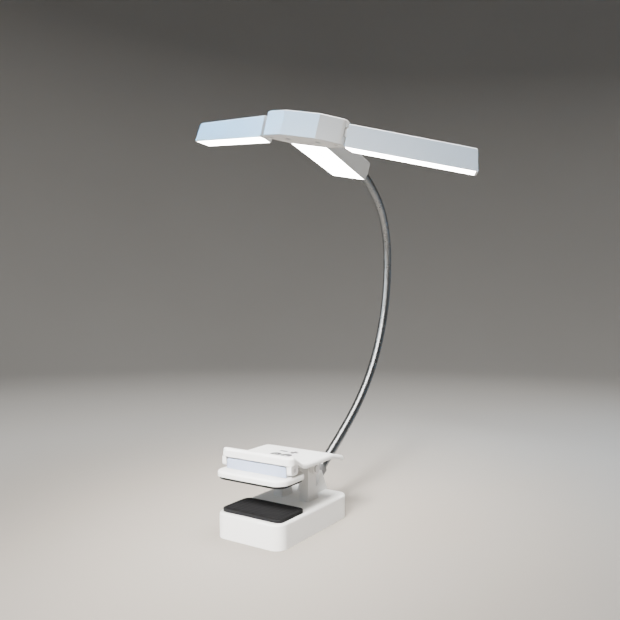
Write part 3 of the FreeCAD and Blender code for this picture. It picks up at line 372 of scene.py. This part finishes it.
@dataclass(frozen=True)
class Metal:
    """Bare or dark metal with a fine grain and a thin film on it."""

    name: str
    colour: Colour
    rough: float
    film: Patches = Patches(9.0 * MM, 3.0)
    film_change: float = 0.08
    shades: Shades = (0.86, 1.08)
    grain: Patches = Patches(0.5 * MM, 3.0)
    grain_change: float = 0.06
    relief: Relief = Relief(0.012 * MM, 0.3, 0.1 * MM)

    def make(self) -> bpy.types.Material:
        """Build the material.

        Returns:
            The material.
        """
        recipe = Recipe(self.name)
        film, grain = recipe.noise(self.film), recipe.noise(self.grain)
        recipe.set(
            Base_Color=recipe.clouded(film, self.colour, self.shades),
            Metallic=1.0,
            Roughness=self.rough + film * self.film_change + grain * self.grain_change,
        )
        recipe.emboss(grain, self.relief)
        return recipe.material


@dataclass(frozen=True)
class LitDiffuser:
    """A milky diffuser with light behind it."""

    name: str
    colour: Colour = (0.86, 0.86, 0.84)
    rough: float = 0.45
    light: Colour = (1.0, 0.985, 0.955)
    power: float = 30.0
    cloud: Patches = Patches(9.0 * MM, 1.0)
    shades: Shades = (1.0, 0.95)
    grain: Patches = Patches(0.6 * MM, 1.0)
    relief: Relief = Relief(0.02 * MM, 0.2)

    def make(self) -> bpy.types.Material:
        """Build the material.

        Returns:
            The material.
        """
        recipe = Recipe(self.name)
        recipe.set(
            Base_Color=self.colour,
            Roughness=self.rough,
            Emission_Color=recipe.clouded(recipe.noise(self.cloud), self.light, self.shades),
            Emission_Strength=self.power,
        )
        recipe.emboss(recipe.noise(self.grain), self.relief)
        return recipe.material


@dataclass(frozen=True)
class Board:
    """A printed circuit board with fine copper runs under its coat, crosswise from patch to patch."""

    name: str
    coat: Colour
    runs: Colour
    rough: float = 0.42
    run_change: float = 0.12
    varnish: float = 0.3
    pitch: float = 1.27 * MM
    run_half: float = 0.22 * MM
    run_soft: float = 0.05 * MM
    patch: Patches = Patches(6.0 * MM, 0.0)
    patch_share: float = 0.5
    patch_soft: float = 0.02
    relief: Relief = Relief(0.03 * MM, 0.5, 0.1 * MM)

    def make(self) -> bpy.types.Material:
        """Build the material.

        Returns:
            The material.
        """
        recipe = Recipe(self.name)
        x, y, _ = recipe.axes()
        patch = recipe.noise(self.patch).below(self.patch_share, self.patch_soft)
        run = x.wrapped(self.pitch).below(self.run_half, self.run_soft) * patch
        cross = y.wrapped(self.pitch).below(self.run_half, self.run_soft) * (1 - patch)
        copper = run.most(cross)
        recipe.set(
            Base_Color=recipe.mix(copper, self.coat, self.runs),
            Roughness=self.rough - copper * self.run_change,
            Coat_Weight=self.varnish,
        )
        recipe.emboss(copper, self.relief)
        return recipe.material


@dataclass(frozen=True)
class Foil:
    """The cell's crinkled silver pouch."""

    name: str
    colour: Colour = (0.66, 0.67, 0.69)
    metallic: float = 0.85
    rough: float = 0.28
    crinkle: Patches = Patches(4.0 * MM, 6.0)
    crinkle_change: float = 0.14
    shades: Shades = (0.9, 1.0)
    relief: Relief = Relief(0.25 * MM, 0.5, 0.2 * MM)

    def make(self) -> bpy.types.Material:
        """Build the material.

        Returns:
            The material.
        """
        recipe = Recipe(self.name)
        crinkle = recipe.noise(self.crinkle)
        recipe.set(
            Base_Color=recipe.clouded(crinkle, self.colour, self.shades),
            Metallic=self.metallic,
            Roughness=self.rough + crinkle * self.crinkle_change,
        )
        recipe.emboss(crinkle, self.relief)
        return recipe.material


@dataclass(frozen=True)
class StudioPaintAndLightPool:
    """Matt paint of the stage, with a painted pool of light: pale under the light, fading to the wall's grey round
    it.
    """

    name: str
    # The pale colour of the painted pool of light on the floor.
    floor: Colour = (0.33, 0.30, 0.265)
    wall: Colour = (0.36, 0.35, 0.335)
    change: float = 240.0 * MM
    soft: float = 130.0 * MM
    rough: float = 0.8
    cloud: Patches = Patches(400.0 * MM)
    cloud_change: float = 0.1
    shades: Shades = (0.94, 1.05)
    grain: Patches = Patches(1.5 * MM)
    relief: Relief = Relief(0.1 * MM, 0.15)

    def make(self) -> bpy.types.Material:
        """Build the material.

        Returns:
            The material.
        """
        recipe = Recipe(self.name)
        x, y, _ = recipe.axes()
        cloud = recipe.noise(self.cloud)
        # Painted pool of light: the pale floor colour in a round patch under the light, fading to the grey wall
        # colour outside it.
        painted_light_pool = (x * x + y * y).root().below(self.change, self.soft)
        wall = recipe.clouded(cloud, self.wall, self.shades)
        recipe.set(
            Base_Color=recipe.mix(painted_light_pool, wall, self.floor),
            Roughness=self.rough + cloud * self.cloud_change,
        )
        recipe.emboss(recipe.noise(self.grain), self.relief)
        return recipe.material


class Mark(Enum):
    """Plain printed marks of the touch field."""

    RING = "ring"
    DOT = "dot"
    BAR = "bar"
    CROSSBAR = "crossbar"


@dataclass(frozen=True)
class PrintedField:
    """White plastic with four small printed marks in two rows."""

    name: str
    colour: Colour
    ink: Colour
    centre: tuple[float, float]
    line: float = 1.2 * MM
    line_soft: float = 0.06 * MM
    column: float = 4.0 * MM
    row: float = 4.4 * MM
    ring: float = 2.5 * MM
    dot: float = 1.0 * MM
    tick: float = 1.9 * MM
    tick_shift: float = 1.6 * MM
    arm: float = 2.9 * MM
    rough: float = 0.4
    ink_change: float = 0.08
    cloud: Patches = Patches(24.0 * MM)
    shades: Shades = (0.965, 1.02)
    grain: Patches = Patches(0.35 * MM, 1.0)
    relief: Relief = Relief(0.03 * MM, 0.2, 0.15 * MM)

    def make(self) -> bpy.types.Material:
        """Build the material.

        Returns:
            The material.
        """
        recipe = Recipe(self.name)
        x, y, _ = recipe.axes()
        printed = reduce(Flow.most, [
            self.draw(mark, x - (self.centre[0] + across), y - (self.centre[1] + along), size)
            for mark, across, along, size in self.marks()
        ])
        plain = recipe.clouded(recipe.noise(self.cloud), self.colour, self.shades)
        recipe.set(
            Base_Color=recipe.mix(printed, plain, self.ink),
            Roughness=self.rough - printed * self.ink_change,
        )
        recipe.emboss(recipe.noise(self.grain), self.relief)
        return recipe.material

    def marks(self) -> list[tuple[Mark, float, float, float]]:
        """List the marks: a ring with a dot, a ring with a tick, a minus and a plus.

        Returns:
            Each mark, its place across and along from the field's centre, and its size.
        """
        left, right, front, rear = -self.column, self.column, -self.row, self.row
        return [
            (Mark.RING, left, front, self.ring),
            (Mark.DOT, left, front, self.dot),
            (Mark.RING, right, front, self.ring),
            (Mark.BAR, right, front + self.tick_shift, self.tick),
            (Mark.CROSSBAR, left, rear, self.arm),
            (Mark.CROSSBAR, right, rear, self.arm),
            (Mark.BAR, right, rear, self.arm),
        ]

    def draw(self, mark: Mark, u: Flow, v: Flow, size: float) -> Flow:
        """Draw one mark.

        Args:
            mark: Which mark.
            u: Place across from its centre.
            v: Place along from its centre.
            size: Its radius or half length.

        Returns:
            One on the mark and zero off it.
        """
        reach = (u * u + v * v).root()
        if mark is Mark.RING:
            return abs(reach - size).below(self.line, self.line_soft)
        if mark is Mark.DOT:
            return reach.below(size, self.line_soft)
        thin, long = (u, v) if mark is Mark.BAR else (v, u)
        return abs(thin).below(self.line, self.line_soft) * abs(long).below(size, self.line_soft)


WHITE: Colour = (0.86, 0.86, 0.85)
INK: Colour = (0.025, 0.025, 0.028)
LILAC: Colour = (0.42, 0.49, 0.66)


class Slot(Enum):
    """The record's material slots."""

    WHITE = "white_plastic"
    LILAC = "lilac_panel"
    TOUCH = "touch_print"
    RUBBER = "black_rubber"
    NECK = "neck_metal"
    COLLAR = "collar_grey"
    STEEL = "bright_steel"
    LIT = "lit_diffuser"
    LIGHT_BOARD = "light_board"
    BOARD = "circuit_board"
    FOIL = "cell_foil"
    PIPE = "light_pipe"


def joint(name: str) -> dict[str, Any]:
    """The record's row of a joint."""
    return next(row for row in frame["joints"] if row["name"] == name)


def finishes() -> dict[Slot, bpy.types.Material]:
    """Build every finish.

    Returns:
        The material of each slot.
    """
    across, along, _ = joint("clip_hinge")["pos_m"]
    ahead_of_hinge = 10.0 * MM
    makers = {
        Slot.WHITE: MouldedPlastic("white_plastic", WHITE),
        Slot.LILAC: MouldedPlastic("lilac_panel", LILAC, rough=0.25, coat=0.4),
        Slot.TOUCH: PrintedField("touch_print", WHITE, INK, (across, along - ahead_of_hinge)),
        Slot.RUBBER: Rubber("black_rubber"),
        Slot.NECK: Metal("neck_metal", colour=(0.29, 0.295, 0.30), rough=0.21),
        Slot.COLLAR: MouldedPlastic("collar_grey", colour=(0.17, 0.17, 0.174), rough=0.4),
        Slot.STEEL: Metal("bright_steel", colour=(0.62, 0.62, 0.63), rough=0.24),
        Slot.LIT: LitDiffuser("lit_diffuser"),
        Slot.LIGHT_BOARD: Board("light_board", coat=(0.8, 0.8, 0.78), runs=(0.66, 0.62, 0.5)),
        Slot.BOARD: Board("circuit_board", coat=(0.02, 0.11, 0.05), runs=(0.10, 0.22, 0.09)),
        Slot.FOIL: Foil("cell_foil"),
        Slot.PIPE: MouldedPlastic("light_pipe", colour=(0.75, 0.8, 0.78), rough=0.15, coat=0.6),
    }
    return {slot: maker.make() for slot, maker in makers.items()}


def dress_nodes(materials: Mapping[Slot, bpy.types.Material]) -> None:
    """Give every CAD node the finish of its slot, with the touch marks on the lever too.

    Args:
        materials: The material of each slot.
    """
    for row in frame["record"]["subparts"]:
        node = frame["nodes"][row["node"]]
        printed = row["node"] == "lever_plate"
        finish = materials[Slot.TOUCH if printed else Slot(row["material_slot"])]
        node.data.materials.clear()
        node.data.materials.append(finish)
        log.info("%s is finished in %s", row["node"], finish.name)


def mesh_piece(name: str, points: Sequence[Vector], faces: Sequence[Sequence[int]],
               finish: bpy.types.Material) -> bpy.types.Object:
    """Make a smooth mesh piece.

    Args:
        name: The piece's name.
        points: Its points.
        faces: Its faces, as rows of point numbers.
        finish: Its material.

    Returns:
        The piece.
    """
    mesh = bpy.data.meshes.new(name)
    mesh.from_pydata(points, [], faces)
    mesh.materials.append(finish)
    mesh.shade_smooth()
    mesh.set_sharp_from_angle(angle=SHARP_ANGLE)
    piece = bpy.data.objects.new(name, mesh)
    bpy.context.collection.objects.link(piece)
    return piece


def circle(radius: float, sides: int) -> list[Vector]:
    """Points round a level circle at the origin.

    Args:
        radius: Its radius.
        sides: How many points it has.

    Returns:
        The points.
    """
    angles = [math.tau * i / sides for i in range(sides)]
    return [Vector((radius * math.cos(angle), radius * math.sin(angle), 0.0)) for angle in angles]


def skin(rings: Sequence[Sequence[Vector]], ends: bool = True) -> Surface:
    """A surface through closed rings that have the same number of points.

    Args:
        rings: The rings, in order.
        ends: Whether the first and last ring are filled.

    Returns:
        The points and the faces.
    """
    count = len(rings[0])
    points = [point for ring in rings for point in ring]
    faces = [
        (r * count + i, r * count + (i + 1) % count, (r + 1) * count + (i + 1) % count, (r + 1) * count + i)
        for r in range(len(rings) - 1) for i in range(count)
    ]
    if ends:
        faces.append(tuple(reversed(range(count))))
        faces.append(tuple(range(len(points) - count, len(points))))
    return points, faces


def wire(path: Sequence[Vector], radius: float, sides: int) -> Surface:
    """A round wire along a path, with eased ends.

    Args:
        path: The points that it follows.
        radius: Its radius.
        sides: Points round it.

    Returns:
        The points and the faces.
    """
    last = len(path) - 1
    way = (path[1] - path[0]).normalized()
    turn = UP.rotation_difference(way)
    rings = []
    for i, point in enumerate(path):
        ahead = (path[min(i + 1, last)] - path[max(i - 1, 0)]).normalized()
        turn = way.rotation_difference(ahead) @ turn
        way = ahead
        reach = radius * WIRE_END_SHARE if i in (0, last) else radius
        rings.append([point + turn @ spot for spot in circle(reach, sides)])
    return skin(rings)


@dataclass(frozen=True)
class Station:
    """A place along the neck: its point, its own axes and its distance from the start."""

    point: Vector
    turn: Quaternion
    travel: float


@dataclass
class Neck:
    """The bendable metal neck: a close-wound ribbed tube, cut where each joint's share ends."""

    radius: float = 3.32 * MM
    rib_depth: float = 0.11 * MM
    rib_pitch: float = 1.25 * MM
    rings_per_rib: int = 6
    sides: int = 26
    start_way: Vector = field(default_factory=lambda: Vector((-0.0408, 0.8791, 0.4749)))
    lead_in: float = 4.0 * MM
    lead_out: float = 1.2 * MM
    spread: float = 16.0 * MM
    numbers: tuple[str, ...] = ("one", "two", "three", "four", "five", "six", "seven")

    def joints(self) -> list[dict[str, Any]]:
        """The neck's joints, from the base to the head."""
        return [row for row in frame["joints"] if row["name"].startswith("neck_")]

    def places(self) -> list[Vector]:
        """The joints' places."""
        return [Vector(row["pos_m"]) for row in self.joints()]

    def stations(self) -> Iterator[Station]:
        """Walk along the neck in small steps.

        Yields:
            Each place, with the axes turned no more than the bend needs.
        """
        step = self.rib_pitch / self.rings_per_rib
        places = self.places()
        way = self.start_way.normalized()
        turn = UP.rotation_difference(way)
        travel = 0.0
        for point in self.straight(places[0], -way, self.lead_in, step)[::-1]:
            yield Station(point, turn.copy(), travel)
            travel += step
        for first, second in zip(places, places[1:]):
            chord = second - first
            ahead = chord.normalized()
            half = way.angle(ahead)
            axis = way.cross(ahead).normalized()
            radius = chord.length / (2.0 * math.sin(half))
            centre = first + axis.cross(way).normalized() * radius
            count = max(2, round(2.0 * half * radius / step))
            for i in range(count):
                swing = Quaternion(axis, 2.0 * half * i / count)
                yield Station(centre + swing @ (first - centre), swing @ turn, travel)
                travel += 2.0 * half * radius / count
            whole = Quaternion(axis, 2.0 * half)
            turn = whole @ turn
            way = whole @ way
        for point in self.straight(places[-1], way, self.lead_out, step):
            yield Station(point, turn.copy(), travel)
            travel += step

    @staticmethod
    def straight(start: Vector, way: Vector, length: float, step: float) -> list[Vector]:
        """Points of a straight run.

        Args:
            start: Its first point.
            way: Its direction.
            length: Its length.
            step: The points' spacing.

        Returns:
            The points.
        """
        count = max(2, round(length / step))
        return [start + way * (length * i / count) for i in range(count + 1)]

    @staticmethod
    def nearest(stations: Sequence[Station], place: Vector) -> int:
        """The number of the station that is nearest to a place."""
        return min(range(len(stations)), key=lambda i: (stations[i].point - place).length)

    def ring(self, station: Station) -> list[Vector]:
        """One ring of points, with the spiral rib at this place.

        Args:
            station: The place along the neck.

        Returns:
            The ring's points.
        """
        points = []
        for i in range(self.sides):
            angle = math.tau * i / self.sides
            phase = math.tau * station.travel / self.rib_pitch + angle
            reach = self.radius - self.rib_depth * ((1.0 - math.cos(phase)) / 2) ** 2
            spot = Vector((reach * math.cos(angle), reach * math.sin(angle), 0.0))
            points.append(station.point + station.turn @ spot)
        return points

    def cuts(self, stations: Sequence[Station]) -> list[int]:
        """Where the neck is cut: its ends and half way between neighbouring joints.

        Args:
            stations: All the places along the neck.

        Returns:
            The numbers of the stations at the cuts.
        """
        nearest = [self.nearest(stations, place) for place in self.places()]
        middles = [(a + b) // 2 for a, b in zip(nearest, nearest[1:])]
        return [0] + middles + [len(stations) - 1]

    def build(self, finish: bpy.types.Material) -> None:
        """Build the neck's lengths, one for each of its joints.

        Args:
            finish: The neck's material.
        """
        stations = list(self.stations())
        cuts = self.cuts(stations)
        rows = self.joints()
        for k, row in enumerate(rows):
            part = stations[cuts[k]:cuts[k + 1] + 1]
            points, faces = skin([self.ring(station) for station in part], ends=False)
            piece = mesh_piece(f"neck_length_{self.numbers[k]}", points, faces, finish)
            if k < len(rows) - 1:
                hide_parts(f"neck_piece_{self.numbers[k]}")
            place = Vector(row["pos_m"])
            reach = part[self.nearest(part, place)].turn @ UP * self.spread
            place - reach
            place + reach
            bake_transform(piece)
            log.info("%s bends at %s", piece.name, row["name"])


@dataclass
class ClosingSpring:
    """The torsion spring round the hinge pin, with a leg on the lever and a leg on the base."""

    coil: float = 3.0 * MM
    thick: float = 0.5 * MM
    pitch: float = 1.6 * MM
    turns: int = 6
    lever_point: tuple[float, float] = (4.0 * MM, 6.6 * MM)
    base_point: tuple[float, float] = (5.0 * MM, -20.5 * MM)
    eased: float = 0.15 * MM
    leg_points: int = 2
    steps: int = 40
    sides: int = 14

    def leaves(self, point: tuple[float, float], sign: int) -> float:
        """The angle at which a leg to a point leaves the coil.

        Args:
            point: The leg's end, rearward and up from the hinge.
            sign: 1 for the lever's leg and -1 for the base's.

        Returns:
            The angle in radians.
        """
        return math.atan2(point[1], point[0]) + sign * math.acos(self.coil / math.hypot(*point))

    def leg(self, point: tuple[float, float]) -> float:
        """The length of a leg to a point, which touches the coil."""
        return math.sqrt(math.hypot(*point) ** 2 - self.coil ** 2)

    def path(self) -> list[Vector]:
        """The wire's middle line from the lever to the base, about the hinge.

        Returns:
            The points: the lever's leg, the turns and the base's leg.
        """
        rearward, under = self.lever_point
        lean = self.leaves((rearward, under - self.thick), 1) - math.pi / 2
        upper = (rearward, under - self.thick * math.cos(lean))
        first = self.leaves(upper, 1)
        last = self.leaves(self.base_point, -1) + math.tau * self.turns
        rise = self.pitch / math.tau
        count = round(self.steps * (last - first) / math.tau)
        angles = [first + (last - first) * i / count for i in range(count + 1)]
        turns = [Vector(((a - (first + last) / 2) * rise, self.coil * math.cos(a), self.coil * math.sin(a)))
                 for a in angles]
        ways = [Vector((rise, -self.coil * math.sin(a), self.coil * math.cos(a))).normalized()
                for a in (first, last)]
        start = turns[0] - ways[0] * self.leg(upper)
        end = turns[-1] + ways[1] * self.leg(self.base_point)
        return [start, start + ways[0] * self.eased, *turns, end - ways[1] * self.eased, end]

    def build(self, finish: bpy.types.Material) -> None:
        """Wind the spring round the clip's hinge.

        Args:
            finish: The wire's material.
        """
        hinge = Vector(joint("clip_hinge")["pos_m"])
        path = self.path()
        surface = wire([hinge + point for point in path], self.thick, self.sides)
        piece = mesh_piece("closing_spring", *surface, finish)
        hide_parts("clip_spring")
        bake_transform(piece)
        log.info("%s twists between the base and the lever", piece.name)


@dataclass
class GripPad:
    """A moulded rubber pad with rounded ribs across its gripping face."""

    node: str
    body: str
    grips_up: bool
    corner: float
    ribs: int = 9
    rib_power: float = 0.7
    groove: float = 0.5 * MM
    border: float = 2.2 * MM
    rim: float = 0.2 * MM
    rim_steps: int = 4
    steps: int = 160

    def half_width(self, edge: float, half: float) -> float:
        """Half the pad's width, with its corners rounded.

        Args:
            edge: Distance from the nearer end.
            half: Half the pad's full width.

        Returns:
            Half the width there.
        """
        short = max(0.0, self.corner - edge)
        return half - self.corner + math.sqrt(self.corner ** 2 - short ** 2)

    def section(self, share: float) -> list[Vector]:
        """The pad's outline across, at a share of its length.

        Args:
            share: Share of the length, from the front.

        Returns:
            The outline's points.
        """
        low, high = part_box(self.node)
        length = high.y - low.y
        edge = length * min(share, 1.0 - share)
        half = self.half_width(edge, (high.x - low.x) / 2)
        ribbed = (length * share - self.border) / (length - 2.0 * self.border)
        dent = 0.0
        if 0.0 < ribbed < 1.0:
            dent = self.groove * (1.0 - abs(math.cos(math.pi * self.ribs * ribbed)) ** self.rib_power)
        back, face, way = (low.z, high.z, 1) if self.grips_up else (high.z, low.z, -1)
        side = [(half, back)]
        for i in range(self.rim_steps + 1):
            angle = math.pi / 2 * i / self.rim_steps
            out = half - self.rim + self.rim * math.cos(angle)
            side.append((out, face - way * self.rim * (1.0 - math.sin(angle))))
        side += [(half - self.border, face), (half - self.border - self.groove, face - way * dent)]
        place, middle = low.y + length * share, (low.x + high.x) / 2
        return ([Vector((middle - x, place, z)) for x, z in side]
                + [Vector((middle + x, place, z)) for x, z in reversed(side)])

    def build(self, finish: bpy.types.Material) -> None:
        """Build the pad in its CAD node's place.

        Args:
            finish: The rubber.
        """
        shares = [(1.0 - math.cos(math.pi * i / self.steps)) / 2 for i in range(self.steps + 1)]
        surface = skin([self.section(share) for share in shares])
        piece = mesh_piece(f"{self.node}_rubber", *surface, finish)
        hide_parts(self.node)
        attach(piece, self.body)
        log.info("%s rides on %s", piece.name, self.body)


@dataclass
class CrossScrews:
    """Pan-head screws with a cross recess, all driven the same way."""

    node: str
    body: str
    places: Sequence[Vector]
    drive: Vector
    across: Vector
    length: float = 7.1 * MM
    head: float = 1.8 * MM
    head_depth: float = 1.1 * MM
    head_rim: float = 0.3 * MM
    crown_share: float = 0.75
    shoulder_share: float = 0.93
    shoulder_depth: float = 0.1 * MM
    shank: float = 0.9 * MM
    shank_step: float = 0.05 * MM
    tip: float = 0.25 * MM
    tip_length: float = 1.2 * MM
    recess: float = 1.0 * MM
    recess_half: float = 0.24 * MM
    recess_lip: float = 0.02 * MM
    recess_depth_share: float = 0.75
    recess_floor_share: float = 0.45

    def cross(self, share: float) -> list[tuple[float, float]]:
        """The recess's outline.

        Args:
            share: Its size, as a share of the full recess.

        Returns:
            Twelve corners with a point between each two.
        """
        reach, half = self.recess * share, self.recess_half * share
        corners = []
        for k in range(4):
            c, s = round(math.cos(k * math.pi / 2)), round(math.sin(k * math.pi / 2))
            for x, y in ((reach, -half), (reach, half), (half, half)):
                corners.append((x * c - y * s, x * s + y * c))
        outline = []
        for (x, y), (u, v) in zip(corners, corners[1:] + corners[:1]):
            outline += [(x, y), ((x + u) / 2, (y + v) / 2)]
        return outline

    def screw(self, place: Vector) -> Surface:
        """One screw.

        Args:
            place: The middle of its head's outer face.

        Returns:
            Its points and faces.
        """
        recess_depth = self.recess_depth_share * self.head_depth
        mouth = self.cross(1.0)
        rings = [
            [(x, y, recess_depth) for x, y in self.cross(self.recess_floor_share)],
            [(x, y, self.recess_lip) for x, y in mouth],
        ]
        for radius, depth in (
            (self.crown_share * self.head, 0.0),
            (self.shoulder_share * self.head, self.shoulder_depth),
            (self.head, self.head_rim),
            (self.head, self.head_depth),
            (self.shank, self.head_depth + self.shank_step),
            (self.shank, self.length - self.tip_length),
            (self.tip, self.length),
        ):
            scales = [radius / math.hypot(x, y) for x, y in mouth]
            rings.append([(x * scale, y * scale, depth) for (x, y), scale in zip(mouth, scales)])
        other = self.drive.cross(self.across)
        return skin([
            [place + self.across * x + other * y + self.drive * z for x, y, z in ring] for ring in rings
        ])

    def build(self, finish: bpy.types.Material) -> None:
        """Build the screws as one piece.

        Args:
            finish: The steel.
        """
        points: list[Vector] = []
        faces: list[tuple[int, ...]] = []
        for place in self.places:
            more, sides = self.screw(place)
            faces += [tuple(i + len(points) for i in side) for side in sides]
            points += more
        piece = mesh_piece(f"{self.node}_cross", points, faces, finish)
        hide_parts(self.node)
        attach(piece, self.body)
        log.info("%s: %d screws", piece.name, len(self.places))


def base_screws() -> CrossScrews:
    """The four screws that hold the base's cover, driven upward.

    Returns:
        The screws, at the corners of their CAD node.
    """
    low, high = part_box("base_screws")
    inset = CrossScrews.head
    sides, ends = (low.x + inset, high.x - inset), (low.y + inset, high.y - inset)
    places = [Vector((x, y, low.z)) for x in sides for y in ends]
    return CrossScrews("base_screws", "base", places, UP, ACROSS)


def hub_screws() -> CrossScrews:
    """The two screws that hold the hub's cover, driven along the wings' hinge axes.

    Returns:
        The screws, set out from the point half way between the two hinges.
    """
    drop, ahead, aside = 7.5 * MM, 0.5 * MM, 9.8 * MM
    left, right = joint("left_wing_hinge"), joint("right_wing_hinge")
    pivots = [Vector(row["pos_m"]) for row in (left, right)]
    up = Vector(right["axis"]).normalized()
    across = (pivots[1] - pivots[0]).normalized()
    rear = up.cross(across)
    seat = (pivots[0] + pivots[1]) / 2 - up * drop - rear * ahead
    places = [seat + across * (sign * aside) for sign in (-1, 1)]
    return CrossScrews("hub_screws", "head", places, up, across)


@dataclass(frozen=True)
class StudioLight:
    """A soft light, placed and aimed in axes that are turned with the camera."""

    name: str
    place: tuple[float, float, float]
    aim: tuple[float, float, float]
    power: float
    colour: Colour
    width: float = 0.5
    height: float = 0.5
    spread: float = 180.0
    scattered: bool = True
    mirrored: bool = True

    def build(self, turn: Matrix) -> None:
        """Hang the light.

        Args:
            turn: The turn from these axes to the frame's.
        """
        lamp = bpy.data.lights.new(self.name, "AREA")
        lamp.shape = "RECTANGLE"
        lamp.size = self.width
        lamp.size_y = self.height
        lamp.energy = self.power
        lamp.color = self.colour
        lamp.spread = math.radians(self.spread)
        holder = bpy.data.objects.new(self.name, lamp)
        holder.location = turn @ Vector(self.place)
        way = turn @ Vector(self.aim) - holder.location
        holder.rotation_euler = way.to_track_quat("-Z", "Y").to_euler()
        holder.visible_diffuse = self.scattered
        holder.visible_glossy = self.mirrored
        bpy.context.collection.objects.link(holder)


@dataclass
class Studio:
    """A floor with a painted pool of light, a grey wall round it, soft lights and the camera."""

    floor: float = -17.0 * MM
    floor_rings: tuple[float, float] = (0.2, 0.6)
    cove_radius: float = 1.5
    cove_height: float = 2.0
    cove_bend: float = 0.5
    cove_sides: int = 96
    bend_steps: int = 12
    sky_colour: Colour = (0.95, 0.97, 1.0)
    sky_strength: float = 0.14
    camera_place: Vector = field(default_factory=lambda: Vector((234.87, -310.38, 123.0)) * MM)
    yaw: float = 32.95
    level: float = 90.0
    pitch: float = -0.61
    roll: float = 0.02
    focal_pixels: float = 649.11
    image_pixels: float = 620.0
    sensor: float = 36.0
    nearest_seen: float = 10.0 * MM

    def build(self) -> None:
        """Build the stage, the sky, the lights and the camera."""
        self.cove()
        self.sky()
        self.lights()
        self.camera()

    def cove(self) -> None:
        """A round floor, pale where a pool of light is painted on it, that curves up into a grey wall on every
        side.
        """
        bend = self.cove_bend
        level = self.cove_radius - bend
        profile = [(reach, 0.0) for reach in (*self.floor_rings, level)]
        for i in range(1, self.bend_steps + 1):
            angle = math.pi / 2 * i / self.bend_steps
            profile.append((level + bend * math.sin(angle), bend - bend * math.cos(angle)))
        profile.append((self.cove_radius, self.cove_height))
        rings = [[spot + UP * (rise + self.floor) for spot in circle(reach, self.cove_sides)]
                 for reach, rise in profile]
        points, faces = skin(rings, ends=False)
        faces.append(tuple(range(self.cove_sides)))
        # Its paint holds the painted pool of light under the light.
        mesh_piece("studio_cove", points, faces, StudioPaintAndLightPool("studio_cove").make())

    def sky(self) -> None:
        """A dim, even light from all sides."""
        world = bpy.data.worlds.new("studio_sky")
        world.use_nodes = True
        sky = world.node_tree.nodes["Background"]
        sky.inputs["Color"].default_value = (*self.sky_colour, 1.0)
        sky.inputs["Strength"].default_value = self.sky_strength
        bpy.context.scene.world = world

    def lights(self) -> None:
        """A blue light from the left, warm ones from the front and above, and a cool gleam on the neck."""
        turn = Matrix.Rotation(math.radians(self.yaw), 3, "Z")
        over_head, head, clip = (0.0, 0.05, 0.31), (0.0, 0.05, 0.15), (0.0, 0.0, 0.015)
        blue: Colour = (0.10, 0.51, 1.0)
        cool: Colour = (0.88, 0.96, 1.0)
        warm: Colour = (1.0, 0.97, 0.93)
        pale: Colour = (1.0, 0.98, 0.95)
        for light in (
            StudioLight("window_light", (-0.9, 0.0, 0.5), over_head, power=1.95, colour=blue,
                        height=0.14, spread=32.0, mirrored=False),
            StudioLight("front_light", (-0.1, -1.0, 0.6), head, power=2.5, colour=warm),
            StudioLight("top_light", (0.1, 0.1, 0.9), head, power=17.5, colour=pale),
            StudioLight("clip_light", (-0.2, -0.45, 0.42), clip, power=0.8, colour=warm,
                        width=0.2, height=0.2, spread=28.0),
            StudioLight("neck_light", (-0.8, -0.25, 0.55), head, power=12.5, colour=cool,
                        width=0.8, height=1.1, scattered=False),
        ):
            light.build(turn)

    def camera(self) -> None:
        """The camera at the photograph's place."""
        lens = bpy.data.cameras.new("camera")
        lens.sensor_width = self.sensor
        lens.lens = self.focal_pixels / self.image_pixels * self.sensor
        lens.clip_start = self.nearest_seen
        holder = bpy.data.objects.new("camera", lens)
        holder.location = self.camera_place
        tilt = self.level + self.pitch
        holder.rotation_euler = [math.radians(part) for part in (tilt, self.roll, self.yaw)]
        bpy.context.collection.objects.link(holder)
        bpy.context.scene.camera = holder


def main() -> None:
    """Dress the CAD nodes, build the added pieces and set the stage."""
    logging.basicConfig(level=logging.INFO)
    materials = finishes()
    dress_nodes(materials)
    Neck().build(materials[Slot.NECK])
    ClosingSpring().build(materials[Slot.STEEL])
    GripPad("lower_pad", "base", grips_up=True, corner=4.0 * MM).build(materials[Slot.RUBBER])
    GripPad("upper_pad", "foot", grips_up=False, corner=6.8 * MM).build(materials[Slot.RUBBER])
    base_screws().build(materials[Slot.STEEL])
    hub_screws().build(materials[Slot.STEEL])
    Studio().build()


if __name__ == "__main__":
    main()
